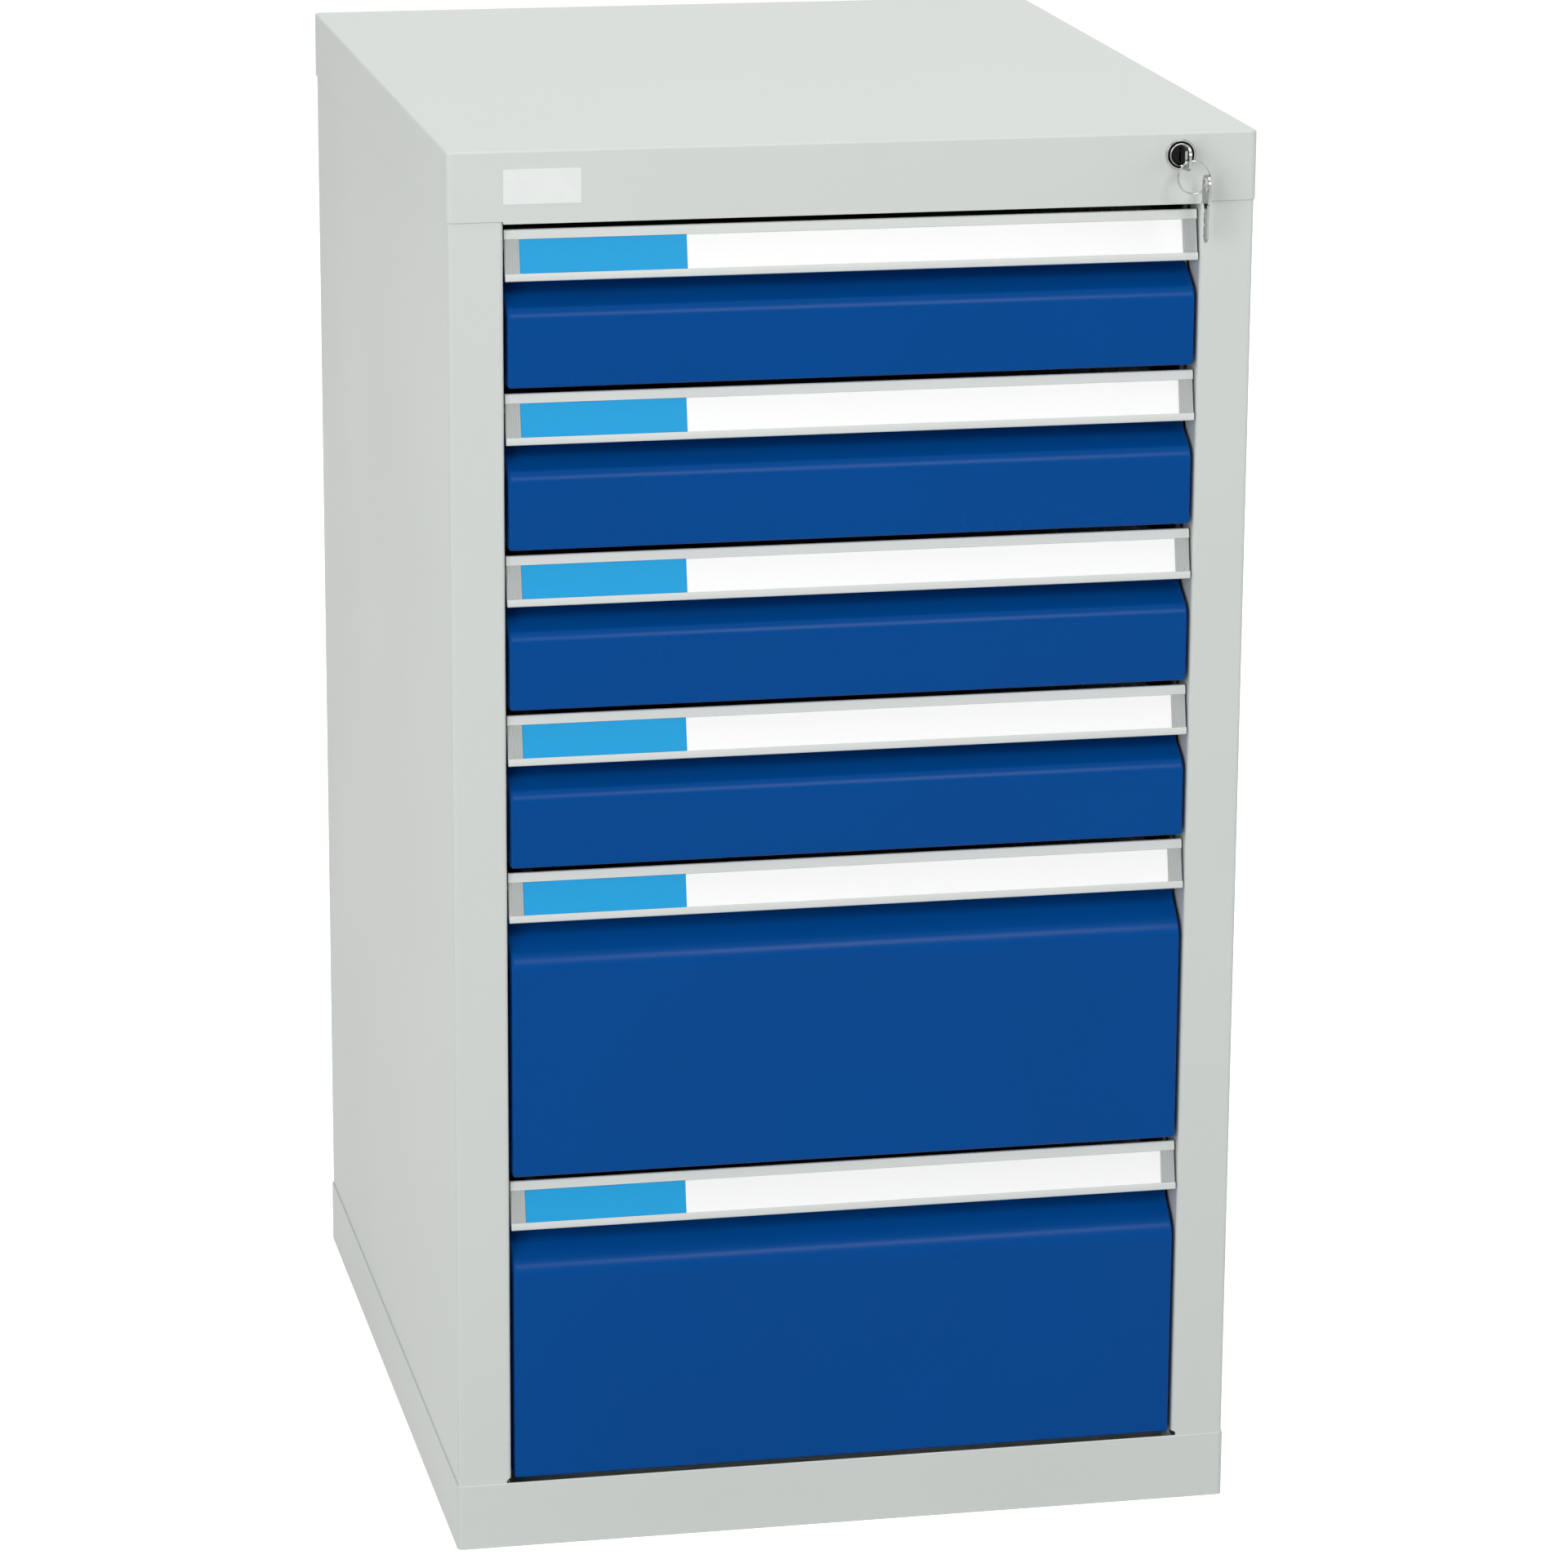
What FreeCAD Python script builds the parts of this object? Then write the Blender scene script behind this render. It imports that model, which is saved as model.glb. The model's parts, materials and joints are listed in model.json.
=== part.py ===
"""A modular drawer cabinet of folded sheet steel, with one closed solid for each separate piece.

Millimetres. The origin is the centre of the cabinet's footprint on the floor. +X points to the right of
someone who faces the drawers, +Y to the cabinet's back, and +Z up. The drawers are shut, the lock is open
and its key is in it.
"""

import FreeCAD, Part
import math
import os

# The cabinet as a whole
WIDTH = 500.0
DEPTH = 600.0
EDGE_BAND = 43.0  # height of the top cover's folded edge, and of the plinth
PROUD = 1.0  # how far the cover and the plinth stand out from the body
COVER_SHEET = 1.0
BODY_SHEET = 1.2
BEND = 1.5  # inside radius of an ordinary fold
OPENING_HALF = 214.0  # half the width between the front stiles
STILE_RETURN = 24.0  # how far a stile's inner edge is folded back
TOP_GAP = 4.0  # between the cover's edge and the first drawer

# The drawers, from the top down
SHALLOW = 100.0
DEEP = 200.0
DRAWER_HEIGHTS = (SHALLOW, SHALLOW, SHALLOW, SHALLOW, DEEP, DEEP)
DRAWER_GAP = 2.6
TRAVEL = 540.0
FRONT_HALF = 211.8
RECESS = 23.0  # from the flat of a drawer's front back to the finger space
TRAY_HALF = 200.0
TRAY_SHEET = 1.0
TRAY_LENGTH = 543.8
TRAY_FOOT = 10.0  # a tray's bottom above the bottom of its drawer's share of the opening
TRAY_RIM = 6.0
SLOT_PITCH = 25.0  # of the divider slots in a tray and of the hook slots in a post

# The grip strip across the top of each front
STRIP_HALF = 212.4
STRIP_HEIGHT = 33.0
STRIP_LEAN = 6.2  # how much further back the strip's top is than its lip
STRIP_WALL = 3.3
RIM_WIDTH = 6.2
CHANNEL_DEPTH = 1.8
CHANNEL_LIP = 0.9
LABEL_HALF = 205.0

# The runners, measured from a tray's side out to a post
RUNNER_SPACE = 13.0
RUNNER_SHEET = 1.2
RUNNER_HEIGHT = 40.0  # its middle above the bottom of the drawer's share of the opening
RUNNER_START = 33.0  # behind the body's front
RUNNER_LENGTH = 550.0

# The lock, its keys and the bar that it lifts
LOCK_X = 201.5
LOCK_DROP = 13.7  # below the top of the cabinet
BARREL_RADIUS = 8.0
PLUG_RADIUS = 6.0
RUNNING_GAP = 0.05
CRANK = 10.0  # from the lock's axis to the cam's pin
CAM_PIN_RADIUS = 2.0
KEY_SHEET = 1.6
KEY_REACH = 17.0  # from the cover's front out to the eye of the key in the lock
BRIDGE_DROP = 5.8  # from the lock's axis down to the bridge of the key that the ring hangs from
RING_RADIUS = 10.0
RING_WIRE = 0.7
RING_LEAN = 36.0  # degrees from straight down, so that the spare key hangs beside the first drawer
BAR_SHEET = 2.0

# Worked out from those above
HEIGHT = 2 * EDGE_BAND + TOP_GAP + sum(DRAWER_HEIGHTS)
SIDE_X = WIDTH / 2 - PROUD
FRONT_Y = -DEPTH / 2 + PROUD
BACK_Y = DEPTH / 2 - PROUD
COVER_FRONT = -DEPTH / 2
COVER_FOOT = HEIGHT - EDGE_BAND
RECESS_Y = FRONT_Y + RECESS
TRAY_FRONT = RECESS_Y + BODY_SHEET
LIP_Y = FRONT_Y - 0.5
POST_X = TRAY_HALF + RUNNER_SPACE
RUNNER_FRONT = FRONT_Y + RUNNER_START
LOCK_Z = HEIGHT - LOCK_DROP
BAR_FRONT = TRAY_FRONT + 1.5
CAM_FRONT = BAR_FRONT - 2.5
CRANK_SIDE = CRANK * math.sqrt(0.5)  # the pin's offset each way when the crank stands at 45 degrees


def point(x, y, z):
    return FreeCAD.Vector(x, y, z)


def block(x_range, y_range, z_range):
    """A box between two values along each axis."""
    low, high = (point(*ends) for ends in zip(x_range, y_range, z_range))
    size = high - low
    return Part.makeBox(size.x, size.y, size.z, low)


def cylinder_y(x, z, radius, y_start, y_end):
    """A cylinder that runs from front to back."""
    return Part.makeCylinder(radius, y_end - y_start, point(x, y_start, z), point(0, 1, 0))


def mirrored(shape):
    """The same shape on the cabinet's other side."""
    return shape.mirror(point(0, 0, 0), point(1, 0, 0))


def pair(shape):
    """A piece and its twin on the other side, as two solids."""
    return Part.makeCompound([shape, mirrored(shape)])


def section_point(flat, axis, along):
    """Where a 2D place of a section lies in space, on a plane square to the axis."""
    if axis == "x":
        return point(along, flat.x, flat.y)
    if axis == "y":
        return point(flat.x, along, flat.y)
    return point(flat.x, flat.y, along)


def rounded_corner(before, corner, after, radius):
    """Start, middle and end of the arc that rounds one corner of an outline."""
    to_before = (before - corner).normalize()
    to_after = (after - corner).normalize()
    half_angle = to_before.getAngle(to_after) / 2
    reach = radius / math.tan(half_angle)
    inward = (to_before + to_after).normalize()
    middle = corner + inward * (radius / math.sin(half_angle) - radius)
    return corner + to_before * reach, middle, corner + to_after * reach


def prism(outline, axis, start, end):
    """A prism along an axis. Each corner of its closed outline is (a, b) or (a, b, radius)."""
    corners = [point(corner[0], corner[1], 0) for corner in outline]
    radii = [corner[2] if len(corner) > 2 else 0 for corner in outline]
    edges = []
    last_stop = None
    first_start = None
    for index, corner in enumerate(corners):
        entry, leave = corner, corner
        arc = None
        if radii[index]:
            after = corners[(index + 1) % len(corners)]
            entry, middle, leave = rounded_corner(corners[index - 1], corner, after, radii[index])
            arc = Part.Arc(*(section_point(flat, axis, start) for flat in (entry, middle, leave)))
        if last_stop is None:
            first_start = entry
        elif last_stop.distanceToPoint(entry) > 1e-6:
            edges.append(straight_edge(last_stop, entry, axis, start))
        if arc:
            edges.append(arc.toShape())
        last_stop = leave
    edges.append(straight_edge(last_stop, first_start, axis, start))
    face = Part.Face(Part.Wire(edges))
    return face.extrude(section_point(point(0, 0, 0), axis, end - start))


def straight_edge(first, second, axis, along):
    """A straight side of a section."""
    ends = (section_point(flat, axis, along) for flat in (first, second))
    return Part.LineSegment(*ends).toShape()


def folded_sheet(path, thickness, axis, start, end):
    """A folded sheet: the path is one of its faces and the other is to the path's left.

    A corner of the path is (a, b) or (a, b, radius), where the radius is the inside one of that fold.
    """
    corners = [point(corner[0], corner[1], 0) for corner in path]
    heads = [(after - before).normalize() for before, after in zip(corners, corners[1:])]
    lefts = [point(-head.y, head.x, 0) for head in heads]
    near = [(corners[0].x, corners[0].y)]
    far = [corners[0] + lefts[0] * thickness]
    far_radii = [0]
    for index in range(1, len(corners) - 1):
        inside = path[index][2] if len(path[index]) > 2 else BEND
        before, after = lefts[index - 1], lefts[index]
        turns_left = heads[index - 1].cross(heads[index]).z > 0
        near_radius = inside + thickness if turns_left else inside
        near.append((corners[index].x, corners[index].y, near_radius))
        far.append(corners[index] + (before + after) * (thickness / (1 + before.dot(after))))
        far_radii.append(2 * inside + thickness - near_radius)
    near.append((corners[-1].x, corners[-1].y))
    far.append(corners[-1] + lefts[-1] * thickness)
    far_radii.append(0)
    far_side = [(place.x, place.y, radius) for place, radius in zip(far, far_radii)]
    return prism(near + far_side[::-1], axis, start, end)


def drawer_bottoms():
    """The lower end of each drawer's share of the opening, from the top drawer down."""
    level = COVER_FOOT - TOP_GAP
    bottoms = []
    for height in DRAWER_HEIGHTS:
        level -= height
        bottoms.append(level)
    return bottoms


# The body

def side_panel():
    """The right side, folded round into the front stile and the flange that carries the back."""
    path = [
        (OPENING_HALF, FRONT_Y + STILE_RETURN),
        (OPENING_HALF, FRONT_Y),
        (SIDE_X, FRONT_Y),
        (SIDE_X, BACK_Y - BODY_SHEET),
        (SIDE_X - 23, BACK_Y - BODY_SHEET),
    ]
    panel = folded_sheet(path, BODY_SHEET, "z", 20, HEIGHT - 4)
    behind_cover = block((OPENING_HALF - 1, OPENING_HALF + 3), (FRONT_Y - 1, FRONT_Y + 30), (COVER_FOOT, HEIGHT))
    return panel.cut(behind_cover)


def back_panel():
    """The flat back, inset from the sides' folds."""
    half = SIDE_X - 1.5
    return block((-half, half), (BACK_Y - BODY_SHEET, BACK_Y), (20, HEIGHT - 4))


def edge_band(z_low, z_high, closed_top):
    """A shallow rectangular shell as wide and deep as the cabinet, open below and, for the plinth, above."""
    half_w, half_d = WIDTH / 2, DEPTH / 2
    shell = block((-half_w, half_w), (-half_d, half_d), (z_low, z_high))
    upright = [edge for edge in shell.Edges if abs(edge.BoundBox.ZLength - (z_high - z_low)) < 1e-6]
    top = [edge for edge in shell.Edges if edge.BoundBox.ZMin > z_high - 1e-6]
    shell = shell.makeFillet(1.6, upright + top if closed_top else upright)
    wall = COVER_SHEET
    ceiling = z_high - wall if closed_top else z_high + 1
    hollow = block((wall - half_w, half_w - wall), (wall - half_d, half_d - wall), (z_low - 1, ceiling))
    return shell.cut(hollow)


def top_cover():
    """The cover, with a stiffening lip behind its front edge and the lock's hole through that edge."""
    cover = edge_band(COVER_FOOT, HEIGHT, True)
    lip = block(
        (2 - OPENING_HALF, OPENING_HALF - 2),
        (FRONT_Y, FRONT_Y + 15),
        (COVER_FOOT, COVER_FOOT + COVER_SHEET),
    )
    hole = cylinder_y(LOCK_X, LOCK_Z, BARREL_RADIUS + 0.1, COVER_FRONT - 1, FRONT_Y + 1)
    return cover.fuse(lip).cut(hole).removeSplitter()


def plinth():
    """The base: a band with a flange turned in on the floor, and a strap that ties its sides."""
    flange_width = 25
    strap_half = 40
    half_w, half_d = WIDTH / 2 - 0.5, DEPTH / 2 - 0.5
    band = edge_band(0, EDGE_BAND, False)
    base = block((-half_w, half_w), (-half_d, half_d), (0, COVER_SHEET))
    for side in (-1, 1):
        near, far = sorted((side * strap_half, side * (half_d - flange_width)))
        base = base.cut(block((flange_width - half_w, half_w - flange_width), (near, far), (-1, 2)))
    return band.fuse(base).removeSplitter()


def floor_panel():
    """The body's floor, notched round the stiles, with its front edge folded down behind the plinth."""
    top = EDGE_BAND
    clearance = 0.5
    wide, narrow = SIDE_X - BODY_SHEET - clearance, OPENING_HALF - clearance
    notch_y = FRONT_Y + STILE_RETURN + 1
    back_y = BACK_Y - 2 * BODY_SHEET - clearance
    outline = [
        (-narrow, FRONT_Y),
        (narrow, FRONT_Y),
        (narrow, notch_y),
        (wide, notch_y),
        (wide, back_y),
        (-wide, back_y),
        (-wide, notch_y),
        (-narrow, notch_y),
    ]
    sheet = prism(outline, "z", top - BODY_SHEET, top)
    apron = block((-narrow, narrow), (FRONT_Y, FRONT_Y + BODY_SHEET), (top - 20, top))
    return sheet.fuse(apron).removeSplitter()


def slotted_post(y_front):
    """A right-hand post of channel section, with a ladder of slots for the runners' hooks."""
    depth, reach = 40, 23
    thickness = 1.5
    path = [
        (POST_X + reach, y_front + depth),
        (POST_X, y_front + depth),
        (POST_X, y_front),
        (POST_X + reach, y_front),
    ]
    post = folded_sheet(path, thickness, "z", EDGE_BAND, COVER_FOOT - 2)
    slots = []
    level = EDGE_BAND + SLOT_PITCH / 2
    while level < COVER_FOOT - SLOT_PITCH / 2:
        middle = y_front + depth / 2
        slots.append(block((POST_X - 1, POST_X + 3), (middle - 5, middle + 5), (level - 1.5, level + 1.5)))
        level += SLOT_PITCH
    return post.cut(Part.makeCompound(slots))


def bar_guide(z_middle):
    """A staple on the front post that the locking bar slides through."""
    staple_half, wall = 6, 1.2
    bar_left, bar_right = bar_sides()
    outer = (bar_left - 0.3 - wall, bar_right + 0.3 + wall)
    inner = (bar_left - 0.3, bar_right + 0.3)
    front = BAR_FRONT - 0.7
    z_range = (z_middle - staple_half, z_middle + staple_half)
    staple = block(outer, (front - wall, RUNNER_FRONT), z_range)
    return staple.cut(block(inner, (front, RUNNER_FRONT), (z_range[0] - 1, z_range[1] + 1)))


def slotted_posts():
    """Four posts that carry the runners; the front right one also guides the locking bar."""
    front = slotted_post(RUNNER_FRONT)
    back = slotted_post(RUNNER_FRONT + RUNNER_LENGTH - 40)
    guided = front
    for level in (760, 320):
        guided = guided.fuse(bar_guide(level))
    return Part.makeCompound([guided, mirrored(front), back, mirrored(back)])


def name_plate():
    """The blank plate at the left of the cover's front edge."""
    left, right = -215.5, -168.0
    low, high = HEIGHT - 32.4, HEIGHT - 11.2
    outline = [(left, low, 1), (right, low, 1), (right, high, 1), (left, high, 1)]
    return prism(outline, "y", COVER_FRONT - 0.4, COVER_FRONT)


def fasteners():
    """Heads of the back panel's screws and of the rivets that hold the fixed runners to the posts."""
    heads = []
    for side in (-1, 1):
        for level in range(80, int(HEIGHT), 146):
            heads.append(cylinder_y(side * (SIDE_X - 12), level, 4, BACK_Y, BACK_Y + PROUD))
    rivet_x = POST_X - RUNNER_SHEET
    for level in drawer_bottoms():
        for y in (RUNNER_FRONT + 10, RUNNER_FRONT + RUNNER_LENGTH - 10):
            head = Part.makeCylinder(3, 0.9, point(rivet_x - 0.9, y, level + RUNNER_HEIGHT), point(1, 0, 0))
            heads.extend((head, mirrored(head)))
    return Part.makeCompound(heads)


# The runners

def runner(web, tip, half_height, level, length):
    """A right-hand channel: its web and flange tips are measured out from the tray's side."""
    web_x, tip_x = TRAY_HALF + web, TRAY_HALF + tip
    low, high = level - half_height, level + half_height
    path = [(tip_x, low), (web_x, low), (web_x, high), (tip_x, high)]
    inside = 0.6
    rounded = [corner if index in (0, 3) else corner + (inside,) for index, corner in enumerate(path)]
    if tip > web:
        rounded.reverse()
    return folded_sheet(rounded, RUNNER_SHEET, "y", RUNNER_FRONT, RUNNER_FRONT + length)


def ball_cage(in_range, level_range, y_range):
    """A strip that holds the balls between two runners."""
    return block([TRAY_HALF + place for place in in_range], y_range, level_range)


def outer_rails():
    """The fixed runners, one on each side of every drawer."""
    rails = []
    for bottom in drawer_bottoms():
        rail = runner(RUNNER_SPACE, 3, 22.5, bottom + RUNNER_HEIGHT, RUNNER_LENGTH)
        rails.extend((rail, mirrored(rail)))
    return Part.makeCompound(rails)


def middle_rails(bottom):
    """The two runners that move half as far as the drawer, with the ball cages they carry."""
    level = bottom + RUNNER_HEIGHT
    rail_half, outer_race, inner_race = 18, 21.1, 13.2
    rail = runner(10.4, 3, rail_half, level, RUNNER_LENGTH)
    # Placed so that the cages stay inside the runners beside them when the drawer is right out
    hidden = TRAVEL / 2 + 16
    rear = (RUNNER_FRONT + hidden, RUNNER_FRONT + RUNNER_LENGTH - 4)
    front = (RUNNER_FRONT + 4, RUNNER_FRONT + RUNNER_LENGTH - hidden)
    pieces = [rail]
    for side in (-1, 1):
        outside = sorted((level + side * rail_half, level + side * outer_race))
        inside = sorted((level + side * inner_race, level + side * (rail_half - RUNNER_SHEET)))
        pieces.append(ball_cage((4, 8), outside, rear))
        pieces.append(ball_cage((4, 7), inside, front))
    return Part.makeCompound(pieces + [mirrored(piece) for piece in pieces])


def inner_rails(bottom):
    """The two runners on the tray's sides."""
    return pair(runner(0, 7.6, 13, bottom + RUNNER_HEIGHT, TRAY_FRONT + TRAY_LENGTH - RUNNER_FRONT))


# The drawers

def tray(bottom, height):
    """An open box with its rims folded in and divider slots in its sides, and the lug welded to it."""
    half = TRAY_HALF
    y_front, y_back = TRAY_FRONT, TRAY_FRONT + TRAY_LENGTH
    z_low, z_high = bottom + TRAY_FOOT, bottom + height - TRAY_FOOT
    wall = TRAY_SHEET
    rim = wall + TRAY_RIM
    shell = block((-half, half), (y_front, y_back), (z_low, z_high))
    room = block((wall - half, half - wall), (y_front + wall, y_back - wall), (z_low + wall, z_high - wall))
    mouth = block((rim - half, half - rim), (y_front + rim, y_back - rim), (z_high - 2 * wall, z_high + 1))
    shell = shell.cut(room).cut(mouth)
    slots = []
    place = y_front + 2 * SLOT_PITCH
    while place < y_back - SLOT_PITCH:
        slot = block((half - 2, half + 1), (place - 1, place + 1), (z_low + 12, z_high - 14))
        slots.extend((slot, mirrored(slot)))
        place += SLOT_PITCH
    shell = shell.cut(Part.makeCompound(slots))
    lug_front = BAR_FRONT + BAR_SHEET + 0.5
    lug = block((half, half + 10.5), (lug_front, lug_front + 2), (z_high - 8, z_high))
    return Part.makeCompound([shell.removeSplitter(), lug])


def front_profile(bottom, height):
    """Key levels of a drawer's front: lower edge, foot of the slope, head of the slope, top."""
    top = bottom + height
    slope_foot = top - (55 if height == SHALLOW else 59)
    return bottom + DRAWER_GAP, slope_foot, top - STRIP_HEIGHT - 6.6, top - 2.2


def drawer_front(bottom, height):
    """The coloured front: flat below, then sloping back to make the finger space behind the strip."""
    low, slope_foot, slope_head, top = front_profile(bottom, height)
    swell = 5.5 if height == SHALLOW else 13.0
    flange = 15
    half = FRONT_HALF
    path = [
        (RECESS_Y, top),
        (RECESS_Y, slope_head, 3),
        (FRONT_Y, slope_foot, swell),
        (FRONT_Y, low),
        (FRONT_Y + flange, low),
    ]
    sheet = folded_sheet(path, BODY_SHEET, "x", -half, half)
    back_y = RECESS_Y - 2
    head_at_back = slope_head - (slope_head - slope_foot) * (RECESS_Y - back_y) / RECESS
    cheek_outline = [
        (back_y, low),
        (FRONT_Y, low, BEND + BODY_SHEET),
        (FRONT_Y, slope_foot, swell + BODY_SHEET),
        (back_y, head_at_back),
    ]
    cheek = prism(cheek_outline, "x", half - BODY_SHEET, half)
    return sheet.fuse([cheek, mirrored(cheek)]).removeSplitter()


def strip_place(along, inward, top):
    """A place in the strip's section, measured down its leaning face from the top and in from it."""
    face_drop = STRIP_HEIGHT - 3.5
    length = math.hypot(STRIP_LEAN, face_drop)
    lean, drop = STRIP_LEAN / length, face_drop / length
    y = LIP_Y + STRIP_LEAN - along * lean + inward * drop
    z = top - along * drop - inward * lean
    return y, z


def channel_ends():
    """Where the label channel starts and ends, measured down the strip's leaning face."""
    return RIM_WIDTH, 28.0


def drawer_handle(bottom, height):
    """The grip strip: a leaning face with a label channel, a lip to pull on and a hook over the front."""
    top = bottom + height
    start, end = channel_ends()
    undercut = 1.0
    plate = 2.2
    leg = 2.0
    face = [
        (0, 0, 1.2),
        (start, 0, 0.3),
        (start, CHANNEL_LIP),
        (start - undercut, CHANNEL_LIP),
        (start - undercut, CHANNEL_DEPTH),
        (end + undercut, CHANNEL_DEPTH),
        (end + undercut, CHANNEL_LIP),
        (end, CHANNEL_LIP),
        (end, 0, 0.3),
    ]
    outline = []
    for corner in face:
        outline.append(strip_place(corner[0], corner[1], top) + corner[2:])
    foot = top - STRIP_HEIGHT
    back_foot_y, back_foot_z = strip_place(28.0, STRIP_WALL, top)
    back_head_y = strip_place(plate, STRIP_WALL, top)[0]
    outline += [
        (LIP_Y, foot + 3.5, 2),
        (LIP_Y, foot, 0.8),
        (LIP_Y + 2.4, foot, 0.8),
        (back_foot_y, back_foot_z, 1),
        (back_head_y, top - plate, 1),
        (RECESS_Y - leg, top - plate, 0.5),
        (RECESS_Y - leg, top - 13, 0.8),
        (RECESS_Y, top - 13),
        (RECESS_Y, top - plate),
        (TRAY_FRONT, top - plate),
        (TRAY_FRONT, top, 0.6),
    ]
    return prism(outline, "x", -STRIP_HALF, STRIP_HALF)


def drawer_label(bottom, height):
    """The blank label that lies in the strip's channel, under both of its lips."""
    top = bottom + height
    start, end = channel_ends()
    corners = ((start - 0.9, 1.0), (end + 0.9, 1.0), (end + 0.9, CHANNEL_DEPTH), (start - 0.9, CHANNEL_DEPTH))
    outline = [strip_place(along, inward, top) for along, inward in corners]
    return prism(outline, "x", -LABEL_HALF, LABEL_HALF)


def drawer_end_caps(bottom, height):
    """The two plugs that close the channel beside the label."""
    top = bottom + height
    start, end = channel_ends()
    face = 0.35
    corners = (
        (start + 0.05, face),
        (start + 0.05, CHANNEL_LIP),
        (start - 0.95, CHANNEL_LIP),
        (start - 0.95, CHANNEL_DEPTH),
        (end + 0.95, CHANNEL_DEPTH),
        (end + 0.95, CHANNEL_LIP),
        (end - 0.05, CHANNEL_LIP),
        (end - 0.05, face),
    )
    outline = [strip_place(along, inward, top) for along, inward in corners]
    return pair(prism(outline, "x", LABEL_HALF + 0.1, STRIP_HALF - 0.3))


# The lock and its keys

def bar_sides():
    """Left and right edges of the locking bar, in the pocket behind the right stile."""
    return OPENING_HALF + 3, OPENING_HALF + 17


def lock_barrel():
    """The barrel: a round flange on the cover's front edge and a body through it."""
    flange = cylinder_y(LOCK_X, LOCK_Z, 9.5, COVER_FRONT - 2, COVER_FRONT)
    rim = [edge for edge in flange.Edges if edge.BoundBox.YMax < COVER_FRONT - 1.9]
    flange = flange.makeFillet(0.8, rim)
    body = cylinder_y(LOCK_X, LOCK_Z, BARREL_RADIUS, COVER_FRONT - 0.5, COVER_FRONT + 21)
    bore = cylinder_y(LOCK_X, LOCK_Z, PLUG_RADIUS + RUNNING_GAP, COVER_FRONT - 3, COVER_FRONT + 22)
    return flange.fuse(body).cut(bore).removeSplitter()


def lock_nut():
    """The hexagon nut that clamps the barrel behind the cover's front edge."""
    across_corners = 12.0
    angles = [math.radians(60 * side) for side in range(6)]
    outline = [
        (LOCK_X + across_corners * math.cos(angle), LOCK_Z + across_corners * math.sin(angle))
        for angle in angles
    ]
    nut = prism(outline, "y", FRONT_Y, FRONT_Y + 3.5)
    return nut.cut(cylinder_y(LOCK_X, LOCK_Z, BARREL_RADIUS + 0.05, FRONT_Y - 1, FRONT_Y + 5))


def lock_plug():
    """The turning plug, with its keyway in front and the tenon that carries the cam behind."""
    front = COVER_FRONT - 2.4
    plug = cylinder_y(LOCK_X, LOCK_Z, PLUG_RADIUS, front, CAM_FRONT)
    tenon = cylinder_y(LOCK_X, LOCK_Z, 3.5, CAM_FRONT - 1, CAM_FRONT + 2)
    keyway = block((LOCK_X - 1.2, LOCK_X + 1.2), (front - 1, front + 22), (LOCK_Z - 4.5, LOCK_Z + 4.5))
    return plug.fuse(tenon).cut(keyway).removeSplitter()


def lock_cam():
    """The crank on the plug's tenon; its pin stands below and to the right when the lock is open."""
    thickness = 2.0
    pin_x, pin_z = LOCK_X + CRANK_SIDE, LOCK_Z - CRANK_SIDE
    hub = cylinder_y(LOCK_X, LOCK_Z, 7, CAM_FRONT, CAM_FRONT + thickness)
    tip = cylinder_y(pin_x, pin_z, 3.2, CAM_FRONT, CAM_FRONT + thickness)
    arm = block((0, CRANK), (CAM_FRONT, CAM_FRONT + thickness), (-3.2, 3.2))
    arm.rotate(point(0, 0, 0), point(0, 1, 0), 45)
    arm.translate(point(LOCK_X, 0, LOCK_Z))
    pin = cylinder_y(pin_x, pin_z, CAM_PIN_RADIUS, CAM_FRONT, CAM_FRONT + 5)
    hole = cylinder_y(LOCK_X, LOCK_Z, 3.55, CAM_FRONT - 1, CAM_FRONT + 3)
    return hub.fuse([tip, arm, pin]).cut(hole).removeSplitter()


def key_blank():
    """A key lying along +Y in the plane X = 0, its bow in front and its eye at the origin."""
    half = KEY_SHEET / 2
    bow_front, bow_back, bow_half, blade_end = -5.8, 13.0, 7.5, 35.5
    blade_half = 4.2
    bow = prism(
        [(bow_front, -bow_half, 6), (bow_back, -bow_half, 6), (bow_back, bow_half, 6), (bow_front, bow_half, 6)],
        "x", -half, half,
    )
    blade_outline = [(bow_back - 6, -blade_half), (blade_end - 3, -blade_half), (blade_end, -1)]
    blade_outline += [(blade_end, 1), (blade_end - 2, blade_half - 2)]
    # The cuts: a step down and up again for each tumbler
    for step, depth in enumerate((1.6, 2.6, 1.2, 2.2)):
        place = blade_end - 4 - 4.5 * step
        blade_outline += [(place, blade_half - 0.6), (place - 1.5, blade_half - depth)]
        blade_outline += [(place - 2.5, blade_half - depth)]
    blade_outline += [(blade_end - 24, blade_half), (bow_back - 6, blade_half)]
    blade = prism(blade_outline, "x", -half + 0.1, half - 0.1)
    eye_low, eye_high, eye_half, eye_corner = -4.1, 4.9, 4.0, 2
    eye = prism(
        [(-eye_half, eye_low, eye_corner), (eye_half, eye_low, eye_corner),
         (eye_half, eye_high, eye_corner), (-eye_half, eye_high, eye_corner)],
        "x", -half - 1, half + 1,
    )
    return bow.fuse(blade).cut(eye).removeSplitter()


def eye_place():
    """Where the eye of the key in the lock is."""
    return point(LOCK_X, COVER_FRONT - KEY_REACH, LOCK_Z)


def key():
    """The key in the lock, standing upright."""
    inserted = key_blank()
    inserted.translate(eye_place())
    return inserted


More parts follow.
